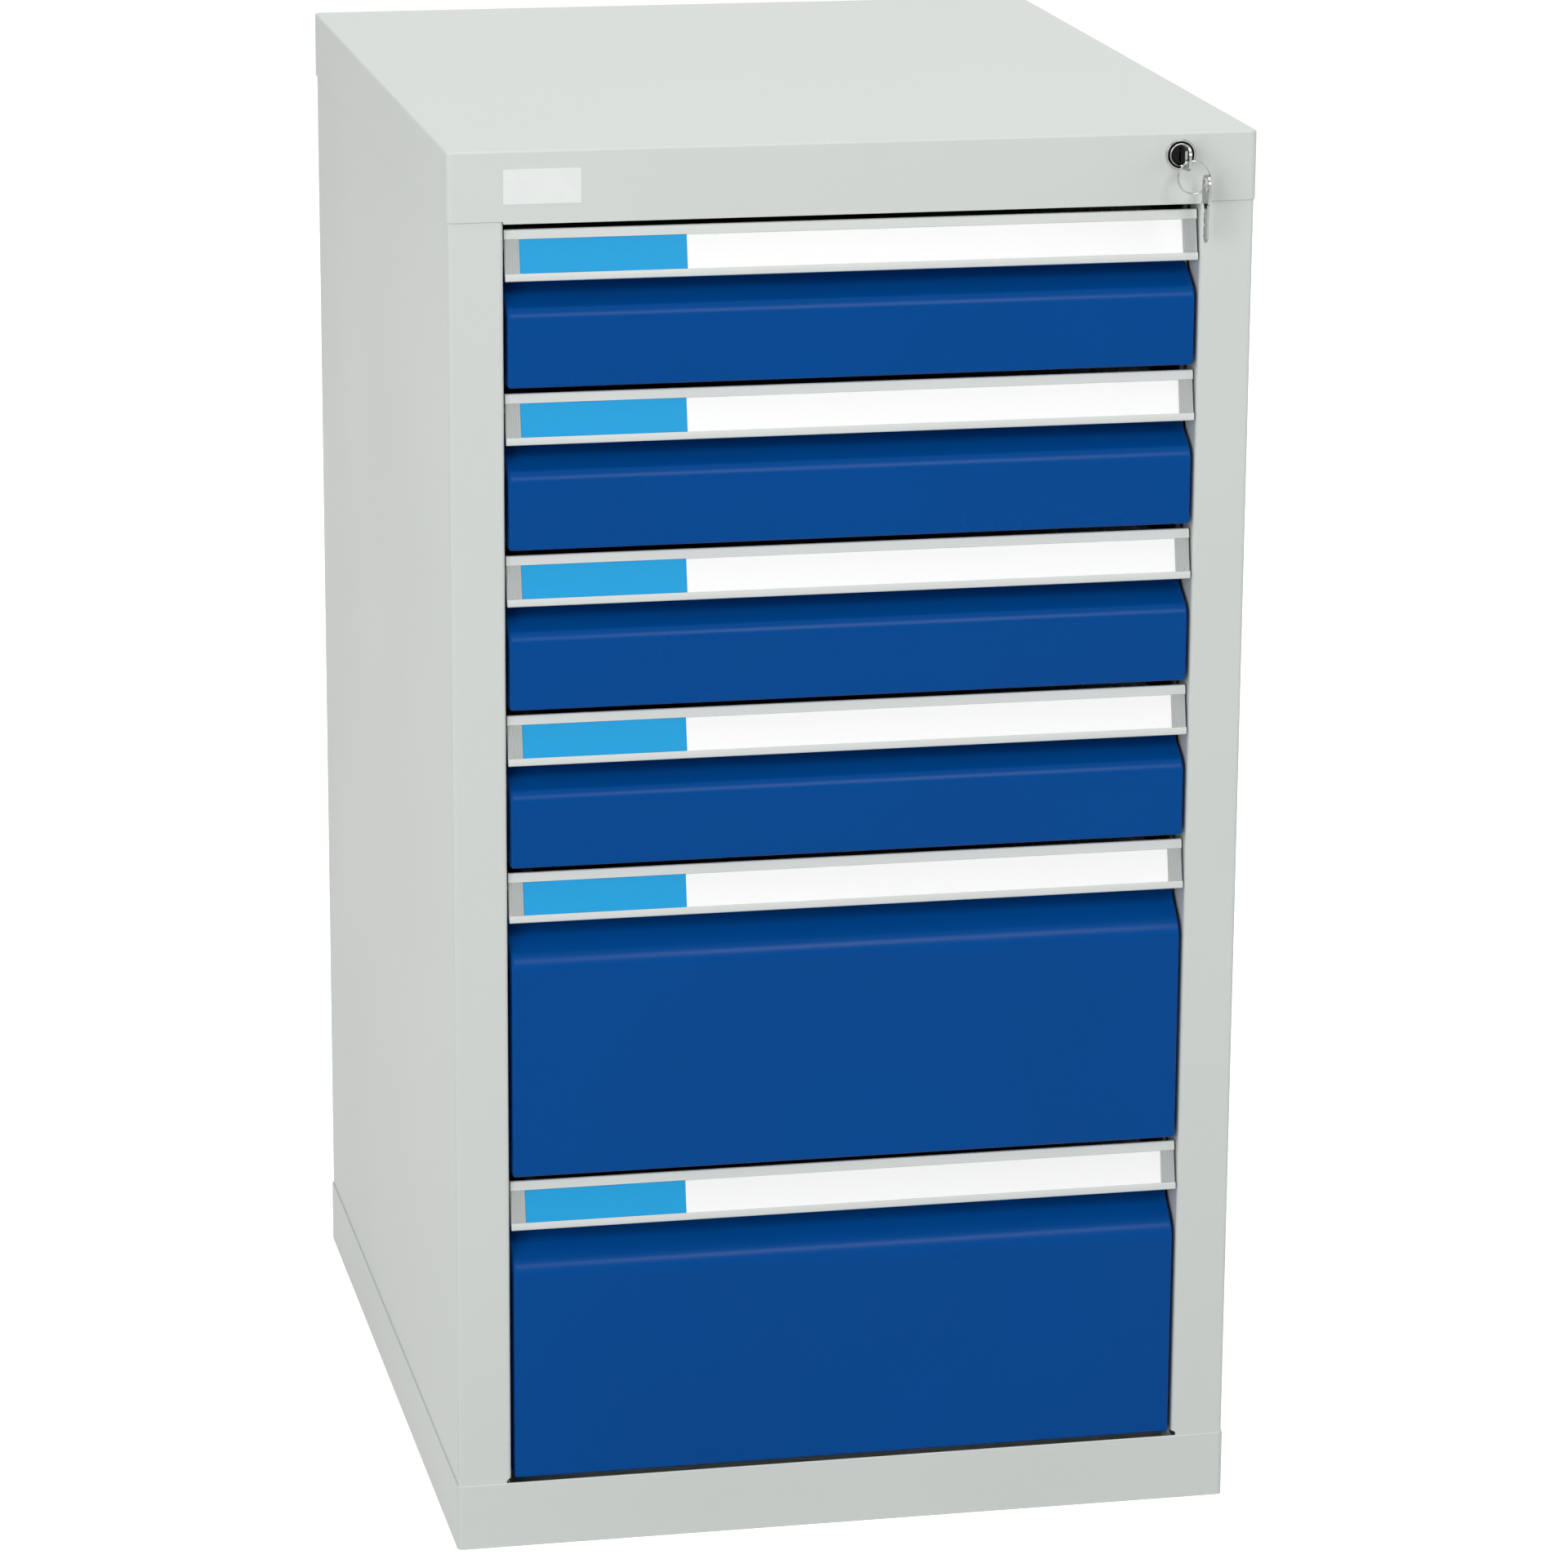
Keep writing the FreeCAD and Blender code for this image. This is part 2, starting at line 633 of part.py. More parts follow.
def ring_centre():
    """The middle of the ring, which hangs from the bridge under the key's eye and leans to the right."""
    rise = 3.1  # from the bridge's middle to the wire, so that the bridge can turn inside the ring
    reach = RING_RADIUS - rise
    lean = math.radians(RING_LEAN)
    bridge = eye_place() - point(0, 0, BRIDGE_DROP)
    return bridge + point(reach * math.sin(lean), 0, -reach * math.cos(lean))


def key_ring():
    """A closed ring of round wire."""
    return Part.makeTorus(RING_RADIUS, RING_WIRE, ring_centre(), point(0, 1, 0))


def spare_key():
    """The second key, hanging from the right of the ring, clear of the end of the first drawer's strip."""
    clearance = 0.5
    middle = ring_centre()
    aside = STRIP_HALF + clearance + KEY_SHEET / 2 - middle.x
    drop = math.sqrt(RING_RADIUS ** 2 - aside ** 2)
    hanging = key_blank()
    hanging.rotate(point(0, 0, 0), point(1, 0, 0), -90)
    raised = 1.0  # so that the wire, which slopes there, clears both ends of the eye
    hanging.translate(middle + point(aside, 0, raised - drop))
    return hanging


def lock_bar():
    """The upright bar behind the right stile: a fork on the cam's pin and a hook for each drawer."""
    left, right = bar_sides()
    y_range = (BAR_FRONT, BAR_FRONT + BAR_SHEET)
    slot_z = LOCK_Z - CRANK_SIDE
    slot_half = CAM_PIN_RADIUS + 0.5
    bar_top = slot_z + 4.6
    fork_left = LOCK_X + CRANK_SIDE - CAM_PIN_RADIUS - 0.4
    bottoms = drawer_bottoms()
    bar = block((left, right), y_range, (bottoms[-1] + DRAWER_HEIGHTS[-1] - 45, bar_top))
    fork = block((fork_left, right), y_range, (COVER_FOOT + 4, bar_top))
    slot = block((fork_left - 1, LOCK_X + CRANK + 2.8), (y_range[0] - 1, y_range[1] + 1),
                 (slot_z - slot_half, slot_z + slot_half))
    hooks = []
    for bottom, height in zip(bottoms, DRAWER_HEIGHTS):
        lug_foot = bottom + height - TRAY_FOOT - 8
        hooks.append(block((TRAY_HALF + 3, left + 1), y_range, (lug_foot - 17, lug_foot - 1.5)))
    return bar.fuse([fork] + hooks).cut(slot).removeSplitter()


def all_pieces():
    """Every piece of the cabinet, as a node's name and its shape."""
    right_side = side_panel()
    yield "right_side_panel", right_side
    yield "left_side_panel", mirrored(right_side)
    yield "back_panel", back_panel()
    yield "top_cover", top_cover()
    yield "plinth", plinth()
    yield "floor_panel", floor_panel()
    yield "slotted_posts", slotted_posts()
    yield "outer_rails", outer_rails()
    yield "name_plate", name_plate()
    yield "fasteners", fasteners()
    yield "lock_barrel", lock_barrel()
    yield "lock_nut", lock_nut()
    yield "lock_plug", lock_plug()
    yield "lock_cam", lock_cam()
    yield "key", key()
    yield "key_ring", key_ring()
    yield "spare_key", spare_key()
    yield "lock_bar", lock_bar()
    for number, (bottom, height) in enumerate(zip(drawer_bottoms(), DRAWER_HEIGHTS), start=1):
        name = f"drawer_{number}"
        yield f"{name}_tray", tray(bottom, height)
        yield f"{name}_front", drawer_front(bottom, height)
        yield f"{name}_handle", drawer_handle(bottom, height)
        yield f"{name}_label", drawer_label(bottom, height)
        yield f"{name}_end_caps", drawer_end_caps(bottom, height)
        yield f"{name}_inner_rails", inner_rails(bottom)
        yield f"{name}_middle_rails", middle_rails(bottom)


os.makedirs("parts", exist_ok=True)
for node, shape in all_pieces():
    shape.exportStep(f"parts/{node}.step")
    print(f"{node}: {len(shape.Solids)} solids, {shape.Volume / 1000:.1f} cm3, valid {shape.isValid()}")
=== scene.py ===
"""The looks of the modular drawer cabinet, modelled round its CAD frame.

Sheet metal is drawn and folded as the real sheets are, plastic strips are drawn as a section and pulled
to length, turned parts are spun. What a plain CAD solid already shows well keeps its shape and gets the
finish of the real thing. Lengths in the code are millimetres, which MM turns into Blender's metres.
"""

import json
import math

import bmesh
import bpy
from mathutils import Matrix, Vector


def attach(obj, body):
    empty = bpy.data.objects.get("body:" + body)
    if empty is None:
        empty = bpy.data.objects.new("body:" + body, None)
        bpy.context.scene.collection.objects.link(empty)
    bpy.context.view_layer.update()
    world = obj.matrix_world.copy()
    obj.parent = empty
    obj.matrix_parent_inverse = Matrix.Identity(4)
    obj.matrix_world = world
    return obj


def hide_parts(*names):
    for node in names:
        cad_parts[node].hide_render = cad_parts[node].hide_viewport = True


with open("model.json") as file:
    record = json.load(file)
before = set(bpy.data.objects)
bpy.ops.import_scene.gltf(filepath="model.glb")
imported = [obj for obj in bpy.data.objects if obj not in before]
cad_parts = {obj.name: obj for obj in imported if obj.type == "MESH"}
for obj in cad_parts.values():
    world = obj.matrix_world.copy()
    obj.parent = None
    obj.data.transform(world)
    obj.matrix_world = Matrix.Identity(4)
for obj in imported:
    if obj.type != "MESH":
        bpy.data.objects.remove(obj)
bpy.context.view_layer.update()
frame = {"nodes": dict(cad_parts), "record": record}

bl_info = {
    "name": "Modular Drawer Cabinet",
    "version": (1, 0, 0),
    "blender": (4, 2, 0),
    "location": "View3D > Sidebar > Cabinet",
    "description": "Models and finishes a sheet steel drawer cabinet round its CAD frame",
    "category": "Object",
}

MM = 0.001

# The cabinet's main places, in millimetres, as in the CAD source
HEIGHT = 890.0
BAND_HEIGHT = 43.0
COVER_FOOT = HEIGHT - BAND_HEIGHT
COVER_FRONT = -300.0
BODY_FRONT = -299.0
RECESS = -276.0
OPENING_HALF = 215.4
OPENING_TOP = 845.7
FRONT_HALF = 213.0
STRIP_HALF = 214.2
LABEL_HALF = 205.0
SHALLOW = 100.0
DEEP = 200.0
DRAWER_HEIGHTS = (SHALLOW, SHALLOW, SHALLOW, SHALLOW, DEEP, DEEP)
LOCK_X = 201.5
LOCK_Z = 876.3
KEY_EYE_Y = -317.0
RING_MIDDLE = (205.556, -317.0, 864.918)
RING_RADIUS = 10.0
SPARE_X = 213.7
SPARE_EYE_Z = 860.2


# Colours

def linear(hex_colour):
    """An sRGB hex colour as the linear colour that Blender's sockets take."""
    channels = [int(hex_colour[place:place + 2], 16) / 255 for place in (1, 3, 5)]
    return tuple(c / 12.92 if c <= 0.04045 else ((c + 0.055) / 1.055) ** 2.4 for c in channels)


def with_alpha(colour):
    """The same colour as a node's socket takes it."""
    return (*colour, 1.0)


def colour_property(name, description, hex_colour):
    """A colour that a user may change in the panel."""
    return bpy.props.FloatVectorProperty(
        name=name, description=description, subtype="COLOR", size=3, min=0, max=1, default=linear(hex_colour),
    )


class CabinetColours(bpy.types.PropertyGroup):
    """The colours of the cabinet's finishes."""

    body: colour_property("Body", "Light grey powder coat of the body, cover and plinth", "#cfd4d0")
    front: colour_property("Fronts", "Blue powder coat of the drawers' fronts", "#00478f")
    inside: colour_property("Drawers inside", "Grey powder coat of the drawers' trays", "#c6cbc8")
    strip: colour_property("Grip strips", "Light grey extruded plastic of the grip strips", "#d3d7d4")
    cap: colour_property("End caps", "Mid grey moulded plastic beside the labels", "#aeb2b1")
    label_field: colour_property("Label field", "Blue field at the left of each label", "#189dd8")
    label_paper: colour_property("Label paper", "White of the rest of each label", "#fafafa")
    plate: colour_property("Blank plate", "White of the blank plate on the cover", "#e3e6e4")


class CabinetSizes(bpy.types.PropertyGroup):
    """The sizes that give the cabinet's sheets and strips their look."""

    cover_corner: bpy.props.FloatProperty(
        name="Cover corner", description="Outside radius of the cover's upright corners",
        default=4 * MM, min=1 * MM, max=12 * MM, unit="LENGTH",
    )
    fold: bpy.props.FloatProperty(
        name="Fold", description="Outside radius of an ordinary fold",
        default=1.6 * MM, min=0.5 * MM, max=4 * MM, unit="LENGTH",
    )
    sheet: bpy.props.FloatProperty(
        name="Sheet", description="Thickness of the drawers' fronts",
        default=1.2 * MM, min=0.6 * MM, max=2 * MM, unit="LENGTH",
    )
    blue_field: bpy.props.FloatProperty(
        name="Blue field", description="Length of the blue field at the left of each label",
        default=102 * MM, min=0, max=400 * MM, unit="LENGTH",
    )


# Modelling

def clear_selection():
    """Leaves edit mode and deselects everything."""
    if bpy.context.object and bpy.context.object.mode != "OBJECT":
        bpy.ops.object.mode_set(mode="OBJECT")
    bpy.ops.object.select_all(action="DESELECT")


def settle(piece):
    """Leaves edit mode and puts the piece's place into its mesh."""
    if piece.mode != "OBJECT":
        bpy.ops.object.mode_set(mode="OBJECT")
    bpy.ops.object.transform_apply(location=True, rotation=True, scale=True)
    return piece


def metres(corner):
    """A place in millimetres as Blender's vector."""
    return Vector(corner) * MM


def box(name, low, high):
    """A box between two corners, left in edit mode."""
    clear_selection()
    low, high = metres(low), metres(high)
    bpy.ops.mesh.primitive_cube_add(size=1, location=(low + high) / 2, scale=high - low)
    piece = bpy.context.object
    piece.name = name
    settle(piece)
    bpy.ops.object.mode_set(mode="EDIT")
    return piece


def pick(kind, test):
    """Selects, in edit mode, the vertices, edges or faces that pass the test, and nothing else."""
    bpy.ops.mesh.select_mode(type=kind)
    bpy.ops.mesh.select_all(action="DESELECT")
    data = bpy.context.object.data
    mesh = bmesh.from_edit_mesh(data)
    for item in {"VERT": mesh.verts, "EDGE": mesh.edges, "FACE": mesh.faces}[kind]:
        item.select_set(bool(test(item)))
    mesh.select_flush_mode()
    bmesh.update_edit_mesh(data)


def all_at(axis, place, slack=0.02):
    """A test for an edge or face whose vertices all lie at one place, in millimetres, along an axis."""
    return lambda item: all(abs(vert.co[axis] - place * MM) < slack * MM for vert in item.verts)


def corner_at(corner, slack=0.02):
    """A test for the vertices at one place, in millimetres."""
    return lambda vert: (vert.co - metres(corner)).length < slack * MM


def along(axis):
    """A test for an edge that runs along an axis."""
    def test(edge):
        run = edge.verts[1].co - edge.verts[0].co
        return abs(run[axis]) > 0.999 * run.length
    return test


def add_modifier(piece, kind, **settings):
    """Adds a modifier with its settings and applies it."""
    if piece.mode != "OBJECT":
        bpy.ops.object.mode_set(mode="OBJECT")
    bpy.context.view_layer.objects.active = piece
    modifier = piece.modifiers.new(kind.title(), kind)
    for key, value in settings.items():
        setattr(modifier, key, value)
    bpy.ops.object.modifier_apply(modifier=modifier.name)


def soften(piece, width, segments=2, angle=30):
    """Rounds the piece's sharp edges and shades it smooth between them."""
    add_modifier(
        piece, "BEVEL", width=width * MM, segments=segments, limit_method="ANGLE",
        angle_limit=math.radians(angle), harden_normals=False,
    )
    shade(piece)


def shade(piece, angle=35):
    """Shades the piece smooth except at sharper edges, and keeps its large faces flat to the eye."""
    clear_selection()
    piece.select_set(True)
    bpy.context.view_layer.objects.active = piece
    bpy.ops.object.shade_smooth_by_angle(angle=math.radians(angle))
    add_modifier(piece, "WEIGHTED_NORMAL", keep_sharp=True)


def draw(name, corners, close=True):
    """Draws an outline by extruding one vertex from corner to corner, and fills it if it is closed."""
    clear_selection()
    places = [metres(corner) for corner in corners]
    bpy.ops.mesh.primitive_plane_add(size=MM, location=places[0])
    piece = bpy.context.object
    piece.name = name
    bpy.ops.object.mode_set(mode="EDIT")
    bpy.ops.mesh.select_mode(type="VERT")
    bpy.ops.mesh.merge(type="CENTER")
    for here, there in zip(places, places[1:]):
        bpy.ops.mesh.extrude_vertices_move(TRANSFORM_OT_translate={"value": there - here})
    if close:
        bpy.ops.mesh.select_all(action="SELECT")
        bpy.ops.mesh.edge_face_add()
    settle(piece)
    bpy.ops.object.mode_set(mode="EDIT")
    return piece


def round_corner(before, corner, after, radius, segments):
    """Rounds one corner of a drawn outline."""
    first, second = metres(before) - metres(corner), metres(after) - metres(corner)
    turn = math.pi - first.angle(second)
    pick("VERT", corner_at(corner))
    bpy.ops.mesh.bevel(
        offset=radius * MM * math.tan(turn / 2), offset_type="OFFSET", segments=segments,
        profile=0.5, affect="VERTICES", clamp_overlap=False,
    )


def draw_rounded(name, corners, radii, close=True, segments=4):
    """Draws an outline and rounds the corners that have a radius."""
    piece = draw(name, corners, close)
    count = len(corners)
    for place, radius in enumerate(radii):
        if radius:
            before, after = corners[place - 1], corners[(place + 1) % count]
            round_corner(before, corners[place], after, radius, segments)
    return piece


def pull(move, kind="FACE"):
    """Extrudes the whole drawing by a move in millimetres."""
    bpy.ops.mesh.select_all(action="SELECT")
    if kind == "FACE":
        bpy.ops.mesh.extrude_region_move(TRANSFORM_OT_translate={"value": metres(move)})
    else:
        bpy.ops.mesh.extrude_edges_move(TRANSFORM_OT_translate={"value": metres(move)})


def face_outwards(piece):
    """Merges doubled vertices and turns every face outwards."""
    if piece.mode != "EDIT":
        bpy.ops.object.mode_set(mode="EDIT")
    bpy.ops.mesh.select_all(action="SELECT")
    bpy.ops.mesh.remove_doubles(threshold=0.001 * MM)
    bpy.ops.mesh.normals_make_consistent(inside=False)


def prism(name, corners, radii, move, segments=4):
    """A drawn section pulled to its length."""
    piece = draw_rounded(name, corners, radii, segments=segments)
    pull(move)
    face_outwards(piece)
    return settle(piece)


def turned(name, profile, centre, steps=48):
    """A part turned about a line along Y: its profile is drawn as radius and place along Y, and spun."""
    x, z = centre
    piece = draw(name, [(x + radius, y, z) for radius, y in profile], close=False)
    bpy.ops.mesh.select_all(action="SELECT")
    bpy.ops.mesh.spin(steps=steps, angle=math.tau, center=metres((x, 0, z)), axis=(0, 1, 0))
    face_outwards(piece)
    return settle(piece)


def cut(piece, *cutters):
    """Cuts other pieces out of this one, and removes them."""
    for cutter in cutters:
        clear_selection()
        add_modifier(piece, "BOOLEAN", operation="DIFFERENCE", object=cutter, solver="EXACT")
        bpy.data.objects.remove(cutter)
    return piece


def join(piece, *others):
    """Makes one piece of several."""
    clear_selection()
    for other in (*others, piece):
        other.select_set(True)
    bpy.context.view_layer.objects.active = piece
    bpy.ops.object.join()
    return piece


def copy_moved(piece, name, move):
    """A copy of a piece with its own mesh, moved in millimetres."""
    clear_selection()
    piece.select_set(True)
    bpy.context.view_layer.objects.active = piece
    bpy.ops.object.duplicate(linked=False)
    made = bpy.context.object
    made.name = name
    bpy.ops.transform.translate(value=metres(move))
    bpy.ops.object.transform_apply(location=True, rotation=True, scale=True)
    return made


def drawers():
    """Each drawer's number, height, and the bottom of its share of the opening."""
    top = COVER_FOOT - 4.0
    for number, height in enumerate(DRAWER_HEIGHTS, start=1):
        top -= height
        yield number, height, top


# Materials

def add_node(tree, kind, inputs=None, **settings):
    """Adds a node, sets its properties, and gives its inputs values or links from other nodes."""
    node = tree.nodes.new(kind)
    for key, value in settings.items():
        setattr(node, key, value)
    for key, value in (inputs or {}).items():
        if isinstance(value, bpy.types.NodeSocket):
            tree.links.new(value, node.inputs[key])
        else:
            node.inputs[key].default_value = value
    return node


def new_material(name):
    """An empty node material and its shader, already linked to the output."""
    material = bpy.data.materials.new(name)
    material.use_nodes = True
    tree = material.node_tree
    tree.nodes.clear()
    shader = add_node(tree, "ShaderNodeBsdfPrincipled")
    add_node(tree, "ShaderNodeOutputMaterial", {"Surface": shader.outputs["BSDF"]})
    return material, tree, shader


def object_place(tree, stretch=(1, 1, 1)):
    """Object coordinates in millimetres, stretched if asked."""
    coordinates = add_node(tree, "ShaderNodeTexCoord").outputs["Object"]
    scale = [1 / MM * part for part in stretch]
    return add_node(tree, "ShaderNodeMapping", {"Vector": coordinates, "Scale": scale}).outputs["Vector"]


def noise(tree, place, wavelength, detail=2.0, roughness=0.5):
    """Noise whose bumps are about the given number of millimetres apart."""
    settings = {"Vector": place, "Scale": 1 / wavelength, "Detail": detail, "Roughness": roughness}
    return add_node(tree, "ShaderNodeTexNoise", settings).outputs["Fac"]


def between(tree, factor, low, high):
    """A value from low to high as the factor goes from 0 to 1."""
    settings = {"Value": factor, "From Min": 0.25, "From Max": 0.75, "To Min": low, "To Max": high}
    return add_node(tree, "ShaderNodeMapRange", settings).outputs["Result"]


def tinted(tree, factor, colour, spread):
    """A colour that wanders a little lighter and darker with the factor."""
    darker = [part * (1 - spread) for part in colour]
    lighter = [min(1, part * (1 + spread)) for part in colour]
    ramp = add_node(tree, "ShaderNodeValToRGB", {"Fac": factor})
    ramp.color_ramp.elements[0].position = 0.25
    ramp.color_ramp.elements[0].color = with_alpha(darker)
    ramp.color_ramp.elements[1].position = 0.75
    ramp.color_ramp.elements[1].color = with_alpha(lighter)
    return ramp.outputs["Color"]


def bumped(tree, shader, height, strength, distance):
    """Gives the shader a bump from a height; the distance is in millimetres."""
    settings = {"Height": height, "Strength": strength, "Distance": distance * MM}
    tree.links.new(add_node(tree, "ShaderNodeBump", settings).outputs["Normal"], shader.inputs["Normal"])


def powder_coat(name, colour, roughness, spread, gloss):
    """Polyester powder coat: sprayed dry and baked, it flows out to a satin skin with fine orange peel.
    The eye sees soft, slightly uneven reflections, and a colour that is the same nearly everywhere."""
    material, tree, shader = new_material(name)
    place = object_place(tree)
    cloud = noise(tree, place, 160.0, detail=3.0)
    # Real orange peel is about 1 mm across; it is drawn 2.5 mm across so that it shows
    peel = noise(tree, place, 2.5, detail=1.5)
    shader.inputs["IOR"].default_value = 1.5
    shader.inputs["Specular IOR Level"].default_value = gloss
    tree.links.new(tinted(tree, cloud, colour, spread), shader.inputs["Base Color"])
    tree.links.new(between(tree, cloud, roughness - 0.03, roughness + 0.03), shader.inputs["Roughness"])
    bumped(tree, shader, peel, 0.12, 0.05)
    return material


def extruded_plastic(name, colour):
    """PVC pulled through a die: it keeps faint lines along its length and a silky, even gloss."""
    material, tree, shader = new_material(name)
    lines = noise(tree, object_place(tree, stretch=(0.01, 1, 1)), 0.7, detail=2.0)
    cloud = noise(tree, object_place(tree), 60.0)
    shader.inputs["IOR"].default_value = 1.53
    tree.links.new(tinted(tree, cloud, colour, 0.015), shader.inputs["Base Color"])
    tree.links.new(between(tree, lines, 0.3, 0.4), shader.inputs["Roughness"])
    bumped(tree, shader, lines, 0.15, 0.03)
    return material


def moulded_plastic(name, colour):
    """ABS moulded in a spark-eroded tool: an even, matt, very fine grain."""
    material, tree, shader = new_material(name)
    # The grain is about 0.1 mm; it is drawn 0.6 mm across so that it shows
    grain = noise(tree, object_place(tree), 0.6, detail=2.0)
    shader.inputs["IOR"].default_value = 1.54
    tree.links.new(tinted(tree, grain, colour, 0.03), shader.inputs["Base Color"])
    shader.inputs["Roughness"].default_value = 0.5
    bumped(tree, shader, grain, 0.2, 0.04)
    return material


def printed_label(name, field, paper, field_end):
    """Card printed with a flat blue field, under clear film: flat colour below a smooth gloss."""
    material, tree, shader = new_material(name)
    place = object_place(tree)
    across = add_node(tree, "ShaderNodeSeparateXYZ", {"Vector": place}).outputs["X"]
    past = add_node(tree, "ShaderNodeMapRange", {
        "Value": across, "From Min": field_end - 0.15, "From Max": field_end + 0.15, "To Min": 0.0, "To Max": 1.0,
    }).outputs["Result"]
    fibres = noise(tree, place, 1.2, detail=4.0)
    blue = tinted(tree, fibres, field, 0.02)
    white = tinted(tree, fibres, paper, 0.01)
    # A Mix node's colour sockets are its factor's 0, A's 6 and B's 7, and its colour comes out at 2
    mix = add_node(tree, "ShaderNodeMix", {0: past, 6: blue, 7: white}, data_type="RGBA")
    tree.links.new(mix.outputs[2], shader.inputs["Base Color"])
    shader.inputs["Roughness"].default_value = 0.45
    shader.inputs["Specular IOR Level"].default_value = 0.2
    shader.inputs["Coat Weight"].default_value = 0.25
    shader.inputs["Coat Roughness"].default_value = 0.12
    bumped(tree, shader, noise(tree, place, 30.0), 0.1, 0.15)
    return material


def zinc_plated(name):
    """Zinc plated steel: a thin bright deposit whose crystals and oils make soft grey clouds."""
    material, tree, shader = new_material(name)
    place = object_place(tree)
    cloud = noise(tree, place, 14.0, detail=5.0, roughness=0.65)
    rolled = noise(tree, object_place(tree, stretch=(1, 0.02, 1)), 0.8, detail=2.0)
    tree.links.new(tinted(tree, cloud, linear("#b9bcbf"), 0.16), shader.inputs["Base Color"])
    tree.links.new(between(tree, cloud, 0.28, 0.5), shader.inputs["Roughness"])
    shader.inputs["Metallic"].default_value = 1.0
    bumped(tree, shader, rolled, 0.15, 0.03)
    return material


def nickel_plated(name):
    """Nickel plated brass, tumbled before plating: bright, faintly warm, with soft fine scuffs."""
    material, tree, shader = new_material(name)
    place = object_place(tree)
    scuffs = noise(tree, place, 1.5, detail=5.0, roughness=0.7)
    tree.links.new(tinted(tree, scuffs, linear("#a6a7a6"), 0.12), shader.inputs["Base Color"])
    tree.links.new(between(tree, scuffs, 0.12, 0.24), shader.inputs["Roughness"])
    shader.inputs["Metallic"].default_value = 1.0
    bumped(tree, shader, scuffs, 0.1, 0.02)
    return material


def blackened_zinc(name):
    """Zinc die-cast, blackened: a dark, dull skin that is rubbed a little brighter where it is touched."""
    material, tree, shader = new_material(name)
    rubbed = noise(tree, object_place(tree), 1.2, detail=4.0)
    tree.links.new(tinted(tree, rubbed, linear("#121315"), 0.35), shader.inputs["Base Color"])
    tree.links.new(between(tree, rubbed, 0.22, 0.4), shader.inputs["Roughness"])
    shader.inputs["Metallic"].default_value = 0.6
    bumped(tree, shader, rubbed, 0.2, 0.03)
    return material


def vinyl_sticker(name, colour):
    """White vinyl film with a pressed, slightly uneven surface and a soft gloss."""
    material, tree, shader = new_material(name)
    place = object_place(tree)
    ripple = noise(tree, place, 9.0, detail=2.0)
    tree.links.new(tinted(tree, ripple, colour, 0.015), shader.inputs["Base Color"])
    tree.links.new(between(tree, ripple, 0.3, 0.42), shader.inputs["Roughness"])
    shader.inputs["IOR"].default_value = 1.5
    bumped(tree, shader, ripple, 0.2, 0.05)
    return material


FINISHES = {}


def make_finishes():
    """Makes every finish once, from the colours in the panel."""
    colours = bpy.context.scene.cabinet_colours
    sizes = bpy.context.scene.cabinet_sizes
    field_end = -LABEL_HALF + sizes.blue_field / MM
    FINISHES["light_grey_paint"] = powder_coat("Light grey powder coat", tuple(colours.body), 0.42, 0.012, 0.25)
    FINISHES["blue_paint"] = powder_coat("Blue powder coat", tuple(colours.front), 0.28, 0.03, 0.07)
    FINISHES["tray_grey"] = powder_coat("Grey powder coat inside", tuple(colours.inside), 0.46, 0.02, 0.25)
    FINISHES["strip_grey"] = extruded_plastic("Light grey extruded PVC", tuple(colours.strip))
    FINISHES["cap_grey"] = moulded_plastic("Mid grey moulded ABS", tuple(colours.cap))
    FINISHES["label"] = printed_label(
        "Printed card under film", tuple(colours.label_field), tuple(colours.label_paper), field_end)
    FINISHES["zinc"] = zinc_plated("Zinc plated steel")
    FINISHES["chrome"] = nickel_plated("Nickel plated brass")
    FINISHES["plug"] = blackened_zinc("Blackened zinc die-cast")
    FINISHES["white_plate"] = vinyl_sticker("White vinyl sticker", tuple(colours.plate))


def finish(piece, slot):
    """Gives a piece one finish all over."""
    piece.data.materials.clear()
    piece.data.materials.append(FINISHES[slot])


def place_piece(piece, slot, body, *nodes):
    """Finishes a new piece, attaches it to the body it moves with and hides the CAD nodes it stands for."""
    finish(piece, slot)
    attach(piece, body)
    if nodes:
        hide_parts(*nodes)


# The pieces

